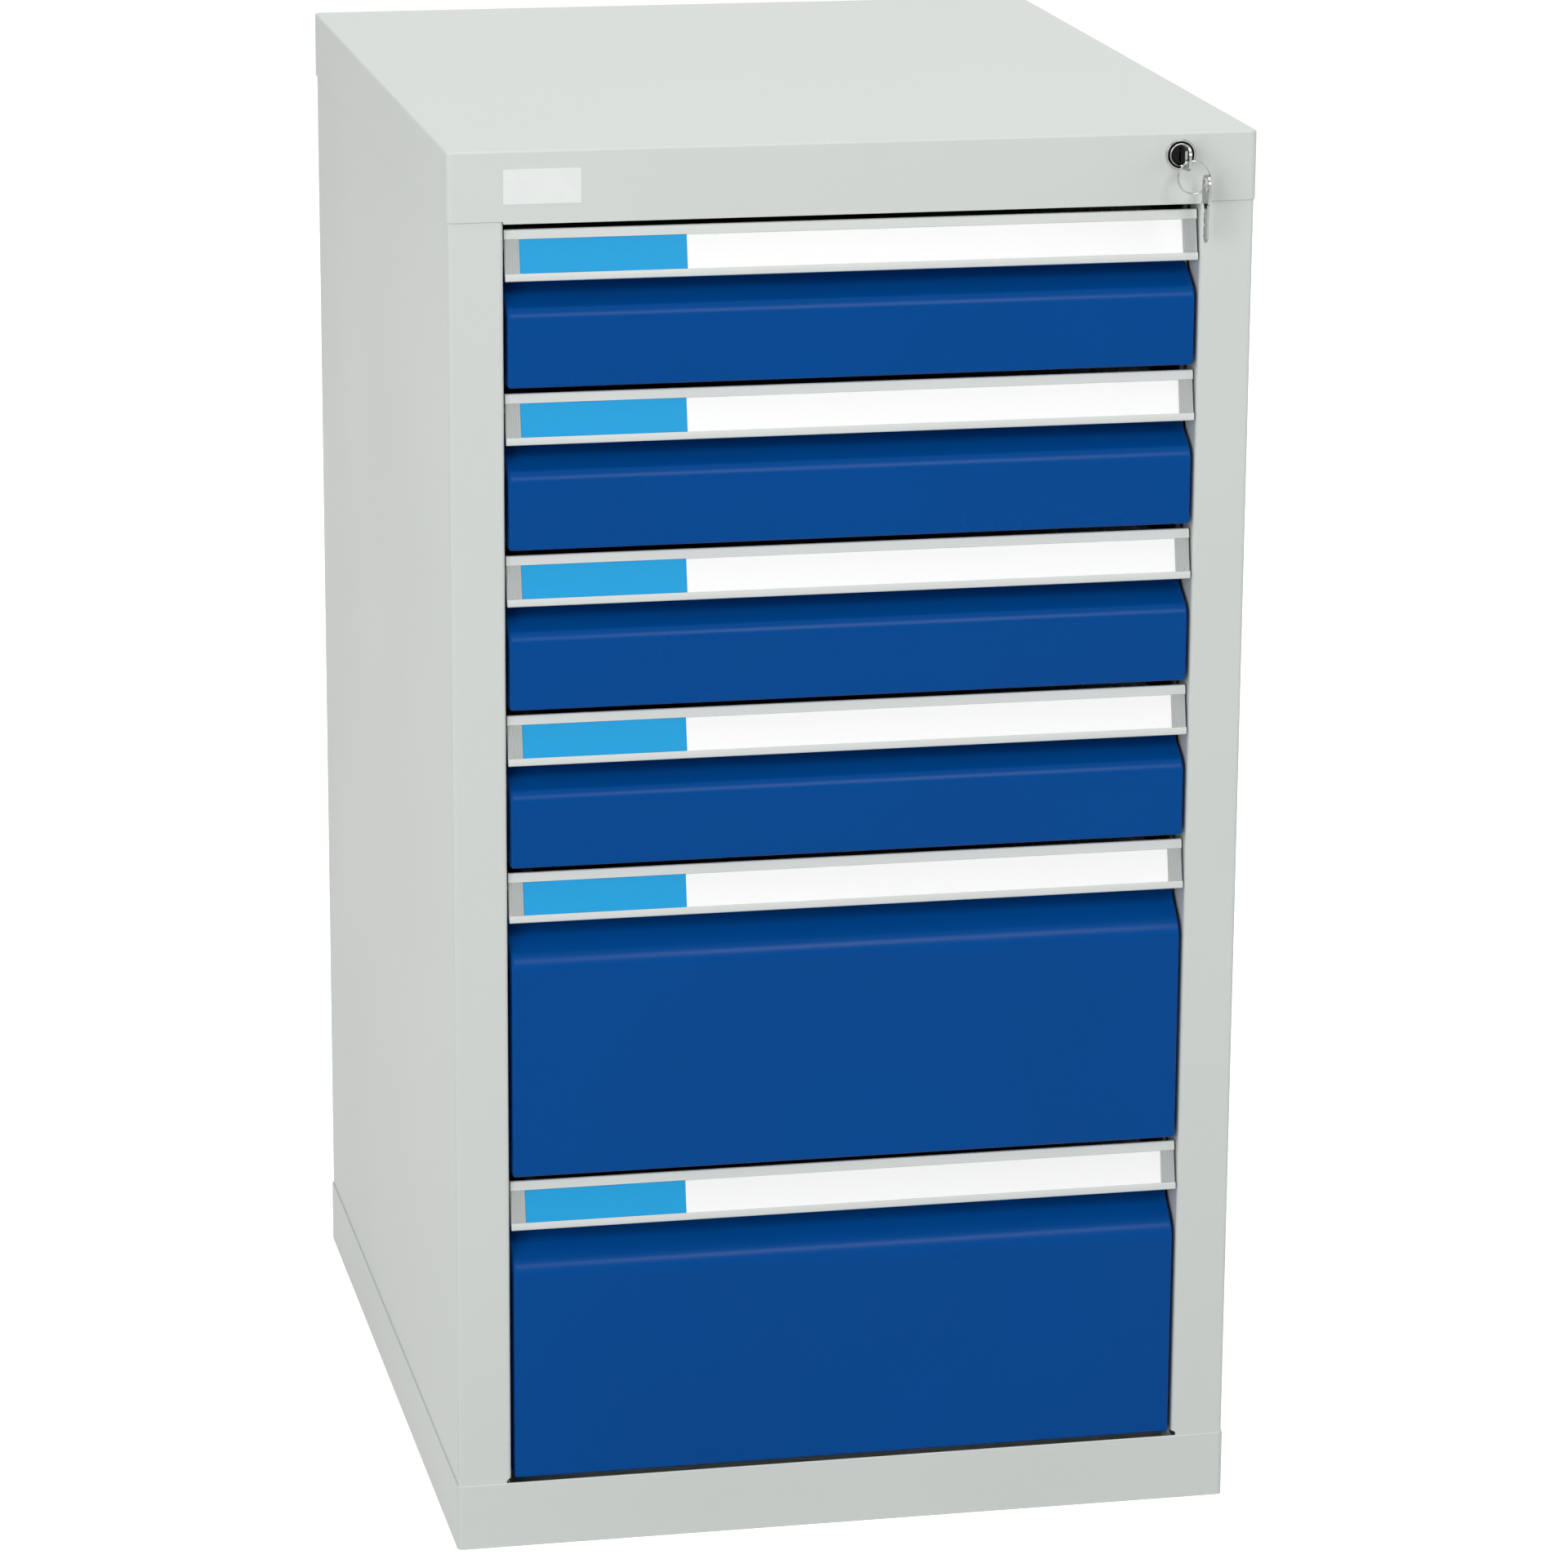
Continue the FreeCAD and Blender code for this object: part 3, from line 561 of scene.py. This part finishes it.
class CABINET_OT_stage(bpy.types.Operator):
    """Sets the floor, the lamps, the white surroundings and the camera"""

    bl_idname = "cabinet.stage"
    bl_label = "Stage"

    def execute(self, context):
        clear_selection()
        bpy.ops.mesh.primitive_plane_add(size=60, location=(0, 0, 0))
        floor = context.object
        floor.name = "studio_floor"
        floor.data.materials.append(self.floor_material())
        self.surroundings(context.scene)
        lamps = (
            ("high", (0.9, -3.7, 3.0), 1.0, 46, True),
            ("low", (-2.6, -3.6, 1.3), 2.4, 85, False),
            ("left", (-3.7, -0.6, 3.2), 3.0, 37, True),
            ("right", (3.8, -1.9, 2.4), 2.6, 43, True),
            ("back", (0.9, 3.9, 2.0), 3.0, 58, False),
            ("overhead", (0.0, 0.2, 3.8), 3.0, 42, True),
        )
        for name, place, size, power, mirrored in lamps:
            lamp = self.lamp(name, Vector(place), size, power)
            # The two low lamps would show as glare in the flat top
            lamp.visible_glossy = mirrored
        self.camera(context.scene)
        context.scene.view_settings.view_transform = "Standard"
        return {"FINISHED"}

    def floor_material(self):
        """Pale painted floor that shows white to the camera and keeps the cabinet's soft shadow."""
        material, tree, shader = new_material("Pale studio floor")
        wide = noise(tree, object_place(tree), 900.0)
        tree.links.new(tinted(tree, wide, linear("#bcbcbc"), 0.004), shader.inputs["Base Color"])
        shader.inputs["Roughness"].default_value = 0.9
        shader.inputs["Specular IOR Level"].default_value = 0.1
        tree.links.new(self.seen_directly(tree), shader.inputs["Emission Strength"])
        shader.inputs["Emission Color"].default_value = (0.9, 0.9, 0.9, 1)
        return material

    def seen_directly(self, tree):
        """1 where a camera, mirror or glass ray looks, else 0."""
        path = add_node(tree, "ShaderNodeLightPath")
        total = add_node(tree, "ShaderNodeMath", {0: path.outputs["Is Camera Ray"], 1: path.outputs["Is Glossy Ray"]},
                         operation="MAXIMUM")
        return add_node(tree, "ShaderNodeMath", {0: total.outputs[0], 1: path.outputs["Is Transmission Ray"]},
                        operation="MAXIMUM").outputs[0]

    def surroundings(self, scene):
        """A white room: its light is soft and even, and it shows plain white behind the cabinet."""
        world = bpy.data.worlds.new("White studio")
        scene.world = world
        world.use_nodes = True
        tree = world.node_tree
        tree.nodes.clear()
        light = add_node(tree, "ShaderNodeBackground", {"Color": (1, 1, 1, 1), "Strength": 0.2})
        shown = add_node(tree, "ShaderNodeBackground", {"Color": (1, 1, 1, 1), "Strength": 1.0})
        mix = add_node(tree, "ShaderNodeMixShader", {
            0: self.seen_directly(tree), 1: light.outputs[0], 2: shown.outputs[0],
        })
        add_node(tree, "ShaderNodeOutputWorld", {"Surface": mix.outputs[0]})

    def lamp(self, name, place, size, power):
        """A square softbox that looks at the middle of the cabinet."""
        bpy.ops.object.light_add(type="AREA", location=place)
        lamp = bpy.context.object
        lamp.name = f"{name}_softbox"
        lamp.data.shape = "SQUARE"
        lamp.data.size = size
        lamp.data.energy = power
        lamp.rotation_euler = (Vector((0, 0, 0.45)) - place).to_track_quat("-Z", "Y").to_euler()
        return lamp

    def camera(self, scene):
        """A long lens, left of the cabinet and a little above it."""
        bpy.ops.object.camera_add(location=(-0.774, -3.798, 1.470))
        camera = bpy.context.object
        camera.name = "photo_camera"
        camera.rotation_euler = [math.radians(angle) for angle in (74.690, -0.328, -11.720)]
        camera.data.sensor_width = 36
        camera.data.lens = 137.9
        scene.camera = camera


class CABINET_OT_finishes(bpy.types.Operator):
    """Makes the finishes and gives them to the CAD parts that keep their shape"""

    bl_idname = "cabinet.finishes"
    bl_label = "Finishes"

    def execute(self, context):
        make_finishes()
        for part in frame["record"]["subparts"]:
            finish(frame["nodes"][part["node"]], part["material_slot"])
        return {"FINISHED"}


def folded_band(name, low, high, corner, fold):
    """A shallow shell as wide and deep as the cabinet, with rounded corners and, if asked, a folded top."""
    piece = box(name, (-250, COVER_FRONT, low), (250, -COVER_FRONT, high))
    pick("EDGE", along(2))
    bpy.ops.mesh.bevel(offset=corner, segments=6, affect="EDGES")
    closed = bool(fold)
    pick("FACE", lambda face: all_at(2, low)(face) or (not closed and all_at(2, high)(face)))
    bpy.ops.mesh.delete(type="FACE")
    if closed:
        pick("EDGE", all_at(2, high))
        bpy.ops.mesh.bevel(offset=fold, segments=4, affect="EDGES")
    return piece


def round_outer_rim(band, level):
    """Rounds the outer edge of a band's free rim, where a cut sheet's edge is never quite sharp."""
    bpy.context.view_layer.objects.active = band
    bpy.ops.object.mode_set(mode="EDIT")

    def on_rim(edge):
        outward = any(abs(f.normal.z) < 0.1 and f.normal.xy.dot(f.calc_center_median().xy) > 0 for f in edge.link_faces)
        return all_at(2, level)(edge) and outward

    pick("EDGE", on_rim)
    bpy.ops.mesh.bevel(offset=0.7 * MM, segments=3, affect="EDGES")
    settle(band)


class CABINET_OT_cover(bpy.types.Operator):
    """Models the top cover, folded down all round"""

    bl_idname = "cabinet.cover"
    bl_label = "Top cover"

    def execute(self, context):
        sizes = context.scene.cabinet_sizes
        cover = folded_band("top_cover_sheet", COVER_FOOT, HEIGHT, sizes.cover_corner, sizes.fold)
        settle(cover)
        add_modifier(cover, "SOLIDIFY", thickness=1.0 * MM, offset=-1, use_even_offset=True)
        round_outer_rim(cover, COVER_FOOT)
        # Between the stiles the front hangs a little lower
        lip = box("lip", (-OPENING_HALF, COVER_FRONT, OPENING_TOP), (OPENING_HALF, COVER_FRONT + 14, COVER_FOOT + 0.7))
        settle(lip)
        hole = turned("hole", [(0, COVER_FRONT - 2), (9.0, COVER_FRONT - 2), (9.0, BODY_FRONT + 2),
                               (0, BODY_FRONT + 2)], (LOCK_X, LOCK_Z))
        cut(cover, hole)
        join(cover, lip)
        soften(cover, 0.25)
        place_piece(cover, "light_grey_paint", "cabinet", "top_cover")
        return {"FINISHED"}


class CABINET_OT_plinth(bpy.types.Operator):
    """Models the plinth that the cabinet stands on"""

    bl_idname = "cabinet.plinth"
    bl_label = "Plinth"

    def execute(self, context):
        sizes = context.scene.cabinet_sizes
        band = folded_band("plinth_band", 0, BAND_HEIGHT, sizes.cover_corner, 0)
        settle(band)
        add_modifier(band, "SOLIDIFY", thickness=1.0 * MM, offset=-1, use_even_offset=True)
        round_outer_rim(band, BAND_HEIGHT)
        flanges = []
        reach, width, end_width = 249.2, 25, 46
        for side in (-1, 1):
            edge = sorted((side * reach, side * (reach - width)))
            flanges.append(settle(box("side_flange", (edge[0], -299.2, 0), (edge[1], 299.2, 1))))
            edge = sorted((side * 299.2, side * (299.2 - end_width)))
            inside = reach - width
            flanges.append(settle(box("end_flange", (-inside, edge[0], 0), (inside, edge[1], 1))))
        flanges.append(settle(box("strap", (width - reach, -40, 0), (reach - width, 40, 1))))
        join(band, *flanges)
        soften(band, 0.3)
        place_piece(band, "light_grey_paint", "cabinet", "plinth")
        return {"FINISHED"}


class CABINET_OT_sides(bpy.types.Operator):
    """Models the two side panels, whose front edges are folded into the stiles beside the drawers"""

    bl_idname = "cabinet.sides"
    bl_label = "Side panels"

    OUTSIDE = 249.0
    FOOT = 20.0
    HEAD = HEIGHT - 4.0

    def execute(self, context):
        for name, side in (("left_side_panel", -1), ("right_side_panel", 1)):
            piece = self.panel(f"{name}_folded", side)
            place_piece(piece, "light_grey_paint", "cabinet", name)
        return {"FINISHED"}

    def panel(self, name, side):
        """One sheet, folded twice at the front and once at the back, notched where it meets the plinth."""
        path = [(OPENING_HALF, -275), (OPENING_HALF, BODY_FRONT), (self.OUTSIDE, BODY_FRONT), (self.OUTSIDE, 297.8), (226, 297.8)]
        corners = [(side * x, y, self.FOOT) for x, y in path]
        piece = draw_rounded(name, corners, (0, 2.2, 2.4, 1.8, 0), close=False, segments=5)
        pull((0, 0, self.HEAD - self.FOOT), kind="EDGE")
        face_outwards(piece)
        bpy.ops.mesh.select_all(action="SELECT")
        mesh = bmesh.from_edit_mesh(piece.data)
        widest = max(mesh.faces, key=lambda face: face.calc_area())
        if widest.normal.x * side < 0:
            bpy.ops.mesh.flip_normals()
        settle(piece)
        add_modifier(piece, "SOLIDIFY", thickness=1.2 * MM, offset=-1, use_even_offset=True)
        notch = turned("notch", [(0, -303), (2.2, -303), (2.2, -290), (0, -290)], (side * (OPENING_HALF + 0.6), BAND_HEIGHT + 0.6), 24)
        cut(piece, notch)
        soften(piece, 0.2, segments=1)
        return piece


class CABINET_OT_floor_panel(bpy.types.Operator):
    """Models the panel under the bottom drawer, set back from the plinth's edge"""

    bl_idname = "cabinet.floor_panel"
    bl_label = "Floor panel"

    def execute(self, context):
        front, back, half = -254.0, 296.5, 247.0
        foot = 3.0
        piece = box("floor_panel_folded", (-half, front, foot), (half, back, BAND_HEIGHT))
        pick("FACE", all_at(2, foot))
        bpy.ops.mesh.delete(type="FACE")
        pick("EDGE", all_at(2, BAND_HEIGHT))
        bpy.ops.mesh.bevel(offset=1.5 * MM, segments=3, affect="EDGES")
        settle(piece)
        add_modifier(piece, "SOLIDIFY", thickness=1.0 * MM, offset=-1, use_even_offset=True)
        soften(piece, 0.2, segments=1)
        place_piece(piece, "light_grey_paint", "cabinet", "floor_panel")
        return {"FINISHED"}


class CABINET_OT_fronts(bpy.types.Operator):
    """Models the blue drawer fronts, one of each height, and copies them"""

    bl_idname = "cabinet.fronts"
    bl_label = "Drawer fronts"

    def execute(self, context):
        models = {}
        for number, height, bottom in drawers():
            name = f"drawer_{number}_blue_front"
            if height not in models:
                models[height] = (self.front(name, bottom, height, context.scene.cabinet_sizes), bottom)
                piece = models[height][0]
            else:
                model, first_bottom = models[height]
                piece = copy_moved(model, name, (0, 0, bottom - first_bottom))
            place_piece(piece, "blue_paint", f"drawer_{number}", f"drawer_{number}_front")
        return {"FINISHED"}

    def front(self, name, bottom, height, sizes):
        """One front: a pan whose face slopes back at the top, and the flap behind the grip strip."""
        top = bottom + height
        low, head, edge = bottom + 2.6, top - 37, top - 9
        foot = top - (51 if height == SHALLOW else 58)
        swell = 10.0 if height == SHALLOW else 15.0
        piece = box(name, (-FRONT_HALF, BODY_FRONT, low), (FRONT_HALF, RECESS, head))
        pick("EDGE", lambda e: all_at(2, head)(e) and all_at(1, BODY_FRONT)(e))
        bpy.ops.transform.translate(value=metres((0, 0, foot - head)))
        pick("FACE", all_at(1, RECESS))
        bpy.ops.mesh.delete(type="ONLY_FACE")
        pick("EDGE", lambda e: all_at(2, foot)(e) and all_at(1, BODY_FRONT)(e))
        slope = math.atan2(RECESS - BODY_FRONT, head - foot)
        tangent = swell * math.tan(slope / 2)
        bpy.ops.mesh.bevel(offset=tangent * MM, offset_type="OFFSET", segments=10, affect="EDGES")
        pick("EDGE", lambda e: len(e.link_faces) == 2 and any(abs(f.normal.x) > 0.99 for f in e.link_faces)
             or (all_at(2, low)(e) and all_at(1, BODY_FRONT)(e)))
        bpy.ops.mesh.bevel(offset=sizes.fold, segments=3, affect="EDGES")
        pick("EDGE", lambda e: all_at(2, head)(e) and len(e.link_faces) == 1 and along(0)(e))
        bpy.ops.mesh.extrude_edges_move(TRANSFORM_OT_translate={"value": metres((0, 0, edge - head))})
        face_outwards(piece)
        settle(piece)
        add_modifier(piece, "SOLIDIFY", thickness=sizes.sheet, offset=-1, use_even_offset=True)
        shade(piece)
        return piece


class CABINET_OT_grips(bpy.types.Operator):
    """Models a grip strip and the two caps in its channel, and copies them to every drawer"""

    bl_idname = "cabinet.grips"
    bl_label = "Grip strips"

    SUNK = 1.3
    LEAN = 5.93
    FACE_DROP = 28.2
    WALL = 3.3
    WEB = (9.0, 10.4)
    CHANNEL = (6.1, 26.7)
    HELD = (3.9, 27.65)

    def execute(self, context):
        first = None
        for number, height, bottom in drawers():
            top = bottom + height - self.SUNK
            if first is None:
                first = top
                strip = self.strip("drawer_1_grip_strip", top)
                caps = self.caps("drawer_1_channel_caps", top)
            else:
                strip = copy_moved(strip_model, f"drawer_{number}_grip_strip", (0, 0, top - first))
                caps = copy_moved(caps_model, f"drawer_{number}_channel_caps", (0, 0, top - first))
            if number == 1:
                strip_model, caps_model = strip, caps
            place_piece(strip, "strip_grey", f"drawer_{number}", f"drawer_{number}_handle")
            place_piece(caps, "cap_grey", f"drawer_{number}", f"drawer_{number}_end_caps")
        return {"FINISHED"}

    def face_place(self, down, inward, top):
        """A place measured down the strip's leaning face from its top, and in from the face."""
        length = math.hypot(self.LEAN, self.FACE_DROP)
        lean, drop = self.LEAN / length, self.FACE_DROP / length
        lip = BODY_FRONT - 0.5
        return lip + self.LEAN - down * lean + inward * drop, top - down * drop - inward * lean

    def strip(self, name, top):
        """The strip: a leaning face with its label channel, a lip to pull on, and a web back to the front."""
        start, end = self.CHANNEL
        held_from, held_to = self.HELD
        lip_y, foot, flap = BODY_FRONT - 0.5, top - 31, RECESS - 0.05
        web_top, web_foot = self.WEB
        section = [(self.face_place(down, inward, top), radius) for down, inward, radius in (
            (0, 0, 1.4), (start, 0, 0.3), (start, 0.9, 0), (held_from, 0.9, 0), (held_from, 1.8, 0),
            (held_to, 1.8, 0), (held_to, 0.9, 0), (end, 0.9, 0), (end, 0, 0.3),
        )]
        section += [
            ((lip_y, foot + 2.8), 1.8), ((lip_y, foot), 1.1), ((lip_y + 2.4, foot), 1.1),
            (self.face_place(26.7, self.WALL, top), 1.0),
            ((self.face_place(web_foot, self.WALL, top)[0], top - web_foot), 0.8),
            ((flap - 1.5, top - web_foot), 0.5), ((flap - 1.5, top - web_foot - 5), 0.5),
            ((flap, top - web_foot - 5), 0), ((flap, top - web_top), 0),
            ((self.face_place(web_top, self.WALL, top)[0], top - web_top), 0.8),
            (self.face_place(0, 2.2, top), 1.0),
        ]
        corners = [(-STRIP_HALF, y, z) for (y, z), radius in section]
        piece = prism(name, corners, [radius for place, radius in section], (2 * STRIP_HALF, 0, 0))
        soften(piece, 0.25, segments=2, angle=60)
        return piece

    def caps(self, name, top):
        """Two plugs with fine upright ribs across their faces."""
        start, end = self.CHANNEL
        left, right = LABEL_HALF + 0.1, STRIP_HALF - 0.3
        face, groove, back = 0.35, 0.62, 1.78
        ribs = 6
        pitch = (right - left) / ribs
        outline = []
        for rib in range(ribs):
            side = left + rib * pitch
            outline += [(side + 0.12 * pitch, face), (side + 0.72 * pitch, face),
                        (side + 0.84 * pitch, groove), (side + pitch, groove)]
        outline = [(left, groove)] + outline + [(right, back), (left, back)]
        corners = []
        for x, inward in outline:
            y, z = self.face_place(start + 0.05, inward, top)
            corners.append((x, y, z))
        foot = self.face_place(end - 0.05, 0, top)
        head = self.face_place(start + 0.05, 0, top)
        run = (0, foot[0] - head[0], foot[1] - head[1])
        right_cap = prism(name, corners, [0] * len(corners), run)
        mirrored = [(-x, y, z) for x, y, z in corners]
        left_cap = prism(f"{name}_left", mirrored, [0] * len(mirrored), run)
        join(right_cap, left_cap)
        soften(right_cap, 0.06, segments=1, angle=50)
        return right_cap


class CABINET_OT_lock(bpy.types.Operator):
    """Models the lock's face, both keys and their ring"""

    bl_idname = "cabinet.lock"
    bl_label = "Lock and keys"

    GROOVE = (7.2, 7.9)

    def execute(self, context):
        barrel = self.barrel()
        place_piece(barrel, "chrome", "cabinet", "lock_barrel")
        # The groove's faces are painted black as shade
        self.paint_groove_shade(barrel)
        plug = self.plug()
        place_piece(plug, "chrome", "lock", "lock_plug")
        finish(plug, "plug")
        key = self.key("key_in_lock")
        spare = self.hang(copy_moved(key, "hanging_spare_key", (0, 0, 0)))
        place_piece(self.stand(key), "chrome", "lock", "key")
        place_piece(spare, "chrome", "spare", "spare_key")
        place_piece(self.ring(), "chrome", "ring", "key_ring")
        return {"FINISHED"}

    def barrel(self):
        """The turned barrel, with a deep narrow groove between its nose and its flange."""
        front = COVER_FRONT
        groove, rim = self.GROOVE
        profile = [
            (6.05, front + 21), (6.05, front - 1.2), (6.3, front - 1.8), (6.7, front - 1.95), (7.1, front - 1.4),
            (groove, front), (groove, front + 5), (rim, front + 5), (rim, front), (8.3, front - 1.0), (9.1, front - 1.0),
            (9.4, front - 0.7), (9.5, front - 0.05), (8.9, front - 0.02), (8.9, front + 1.5), (8.0, front + 1.5),
            (8.0, front + 21), (6.05, front + 21),
        ]
        piece = turned("lock_barrel_turned", profile, (LOCK_X, LOCK_Z), steps=64)
        shade(piece, 30)
        return piece

    def paint_groove_shade(self, barrel):
        """Gives the groove the plug's black as painted shade, for the dark ring of shade that lies in the deep groove.
        """
        barrel.data.materials.append(FINISHES["plug"])
        inside, outside = self.GROOVE
        for face in barrel.data.polygons:
            out = math.hypot(face.center.x / MM - LOCK_X, face.center.z / MM - LOCK_Z)
            if inside - 0.05 < out < outside + 0.05 and face.center.y > COVER_FRONT * MM:
                face.material_index = 1

    def plug(self):
        """The turning plug with its keyway."""
        front = COVER_FRONT - 1.3
        back = -275.8
        profile = [(0, front), (5.3, front), (5.9, front + 0.5), (6.0, front + 1.0), (6.0, back), (3.5, back),
                   (3.5, back + 2), (0, back + 2)]
        piece = turned("lock_plug_turned", profile, (LOCK_X, LOCK_Z))
        keyway = settle(box("keyway", (LOCK_X - 1.2, front - 1, LOCK_Z - 4.5), (LOCK_X + 1.2, front + 21, LOCK_Z + 4.5)))
        cut(piece, keyway)
        shade(piece, 30)
        return piece

    def key(self, name):
        """A flat key along +Y in the plane X = 0: stamped bow with an eye, and a cut, grooved blade."""
        half = 0.8
        bow = prism(
            name,
            [(-half, -5.8, -7.5), (-half, 13, -7.5), (-half, 13, 7.5), (-half, -5.8, 7.5)],
            [6, 6, 6, 6], (2 * half, 0, 0), segments=8,
        )
        eye = prism("eye", [(-2, -4, -4.1), (-2, 4, -4.1), (-2, 4, 4.9), (-2, -4, 4.9)], [2, 2, 2, 2],
                    (4, 0, 0), segments=6)
        cut(bow, eye)
        blade = self.blade(half - 0.1)
        join(bow, blade)
        soften(bow, 0.22, segments=2, angle=40)
        return bow

    def blade(self, half):
        """The blade, with its bitting and a milled groove on each side."""
        end, tall = 35.5, 4.2
        outline = [(10, -tall), (end - 3, -tall), (end, -1), (end, 1), (end - 2, tall - 2)]
        for step, depth in enumerate((1.6, 2.6, 1.2, 2.2)):
            place = end - 4 - 4.5 * step
            outline += [(place, tall - 0.6), (place - 1.5, tall - depth), (place - 2.5, tall - depth)]
        outline += [(end - 24, tall), (10, tall)]
        piece = prism("blade", [(-half, y, z) for y, z in outline], [0] * len(outline), (2 * half, 0, 0))
        for side in (-1, 1):
            near, far = sorted((side * (half - 0.25), side * (half + 1)))
            cut(piece, settle(box("groove", (near, 14.5, -2.4), (far, end + 1, -1.2))))
        return piece

    def stand(self, key):
        """Moves the key into the lock, standing upright."""
        clear_selection()
        key.select_set(True)
        bpy.context.view_layer.objects.active = key
        bpy.ops.transform.translate(value=metres((LOCK_X, KEY_EYE_Y, LOCK_Z)))
        return settle(key)

    def hang(self, key):
        """Turns the spare key point down and moves its eye onto the ring."""
        clear_selection()
        key.select_set(True)
        bpy.context.view_layer.objects.active = key
        key.rotation_euler = (math.radians(-90), 0, 0)
        key.location = metres((SPARE_X, KEY_EYE_Y, SPARE_EYE_Z))
        return settle(key)

    def ring(self):
        """A split ring: two turns of wire side by side, one of them with a gap."""
        turns = []
        for side in (-1, 1):
            clear_selection()
            x, y, z = RING_MIDDLE
            bpy.ops.mesh.primitive_torus_add(
                major_radius=RING_RADIUS * MM, minor_radius=0.5 * MM, major_segments=72, minor_segments=10,
                location=metres((x, y + side * 0.46, z)), rotation=(math.pi / 2, 0, 0),
            )
            turn = settle(bpy.context.object)
            turn.name = "key_ring_turns"
            turns.append(turn)
        gap = settle(box("gap", (RING_MIDDLE[0] - 12, -319, RING_MIDDLE[2] - 0.6),
                         (RING_MIDDLE[0] - 8, -315, RING_MIDDLE[2] + 0.6)))
        cut(turns[0], gap)
        join(turns[0], turns[1])
        shade(turns[0], 60)
        return turns[0]


class CABINET_OT_name_plate(bpy.types.Operator):
    """Models the blank plate on the cover's front edge"""

    bl_idname = "cabinet.name_plate"
    bl_label = "Blank plate"

    def execute(self, context):
        low, high = HEIGHT - 32.4, HEIGHT - 11.2
        y = COVER_FRONT - 0.36
        corners = [(-215.5, y, low), (-168, y, low), (-168, y, high), (-215.5, y, high)]
        plate = prism("blank_plate_film", corners, [1, 1, 1, 1], (0, 0.34, 0))
        soften(plate, 0.12, segments=2, angle=50)
        place_piece(plate, "white_plate", "cabinet", "name_plate")
        return {"FINISHED"}


class CABINET_OT_fasteners(bpy.types.Operator):
    """Models a back panel screw and a runner rivet, and copies them to their places"""

    bl_idname = "cabinet.fasteners"
    bl_label = "Screws and rivets"

    def execute(self, context):
        heads = []
        screw = self.screw()
        for side in (-1, 1):
            for level in range(80, int(HEIGHT), 146):
                heads.append(copy_moved(screw, "screw", (side * 237, 299, level)))
        bpy.data.objects.remove(screw)
        for side in (-1, 1):
            rivet = self.rivet(side)
            for number, height, bottom in drawers():
                for y in (-256, 274):
                    heads.append(copy_moved(rivet, "rivet", (side * 211.8, y, bottom + 40)))
            bpy.data.objects.remove(rivet)
        heads[0].name = "screws_and_rivets"
        join(heads[0], *heads[1:])
        place_piece(heads[0], "zinc", "cabinet", "fasteners")
        return {"FINISHED"}

    def screw(self):
        """A pan head with a cross recess, looking along +Y."""
        head = turned("screw", [(0, 0.95), (2.0, 0.9), (3.2, 0.65), (3.9, 0.2), (4.0, 0.0), (0, 0.0)], (0, 0), steps=24)
        for long_side, short_side in ((2.2, 0.45), (0.45, 2.2)):
            slot = settle(box("recess", (-long_side, 0.35, -short_side), (long_side, 2, short_side)))
            cut(head, slot)
        shade(head, 30)
        return head

    def rivet(self, side):
        """A domed rivet head that looks towards the drawers."""
        head = turned("rivet", [(0, -0.88), (1.4, -0.8), (2.4, -0.5), (3.0, 0.0), (0, 0.0)], (0, 0), steps=20)
        clear_selection()
        head.select_set(True)
        bpy.context.view_layer.objects.active = head
        head.rotation_euler = (0, 0, math.radians(-90 * side))
        settle(head)
        shade(head, 40)
        return head


OPERATORS = (
    CABINET_OT_finishes,
    CABINET_OT_cover,
    CABINET_OT_plinth,
    CABINET_OT_sides,
    CABINET_OT_floor_panel,
    CABINET_OT_fronts,
    CABINET_OT_grips,
    CABINET_OT_name_plate,
    CABINET_OT_fasteners,
    CABINET_OT_lock,
    CABINET_OT_stage,
)


class CABINET_PT_pieces(bpy.types.Panel):
    """The cabinet's colours and sizes, and a button for each group of pieces"""

    bl_label = "Drawer cabinet"
    bl_space_type = "VIEW_3D"
    bl_region_type = "UI"
    bl_category = "Cabinet"

    def draw(self, context):
        for group in (context.scene.cabinet_colours, context.scene.cabinet_sizes):
            column = self.layout.column()
            for name in type(group).__annotations__:
                column.prop(group, name)
        for operator in OPERATORS:
            self.layout.operator(operator.bl_idname)


CLASSES = (CabinetColours, CabinetSizes, *OPERATORS, CABINET_PT_pieces)


def register():
    for item in CLASSES:
        bpy.utils.register_class(item)
    bpy.types.Scene.cabinet_colours = bpy.props.PointerProperty(
        type=CabinetColours, name="Colours", description="Colours of the cabinet")
    bpy.types.Scene.cabinet_sizes = bpy.props.PointerProperty(
        type=CabinetSizes, name="Sizes", description="Sizes of the cabinet's sheets and strips")


def unregister():
    del bpy.types.Scene.cabinet_sizes
    del bpy.types.Scene.cabinet_colours
    for item in reversed(CLASSES):
        bpy.utils.unregister_class(item)


def main():
    """Registers the add-on, models every piece in order, then sets the stage."""
    register()
    bpy.ops.cabinet.finishes()
    bpy.ops.cabinet.cover()
    bpy.ops.cabinet.plinth()
    bpy.ops.cabinet.sides()
    bpy.ops.cabinet.floor_panel()
    bpy.ops.cabinet.fronts()
    bpy.ops.cabinet.grips()
    bpy.ops.cabinet.name_plate()
    bpy.ops.cabinet.fasteners()
    bpy.ops.cabinet.lock()
    bpy.ops.cabinet.stage()


if __name__ == "__main__":
    main()
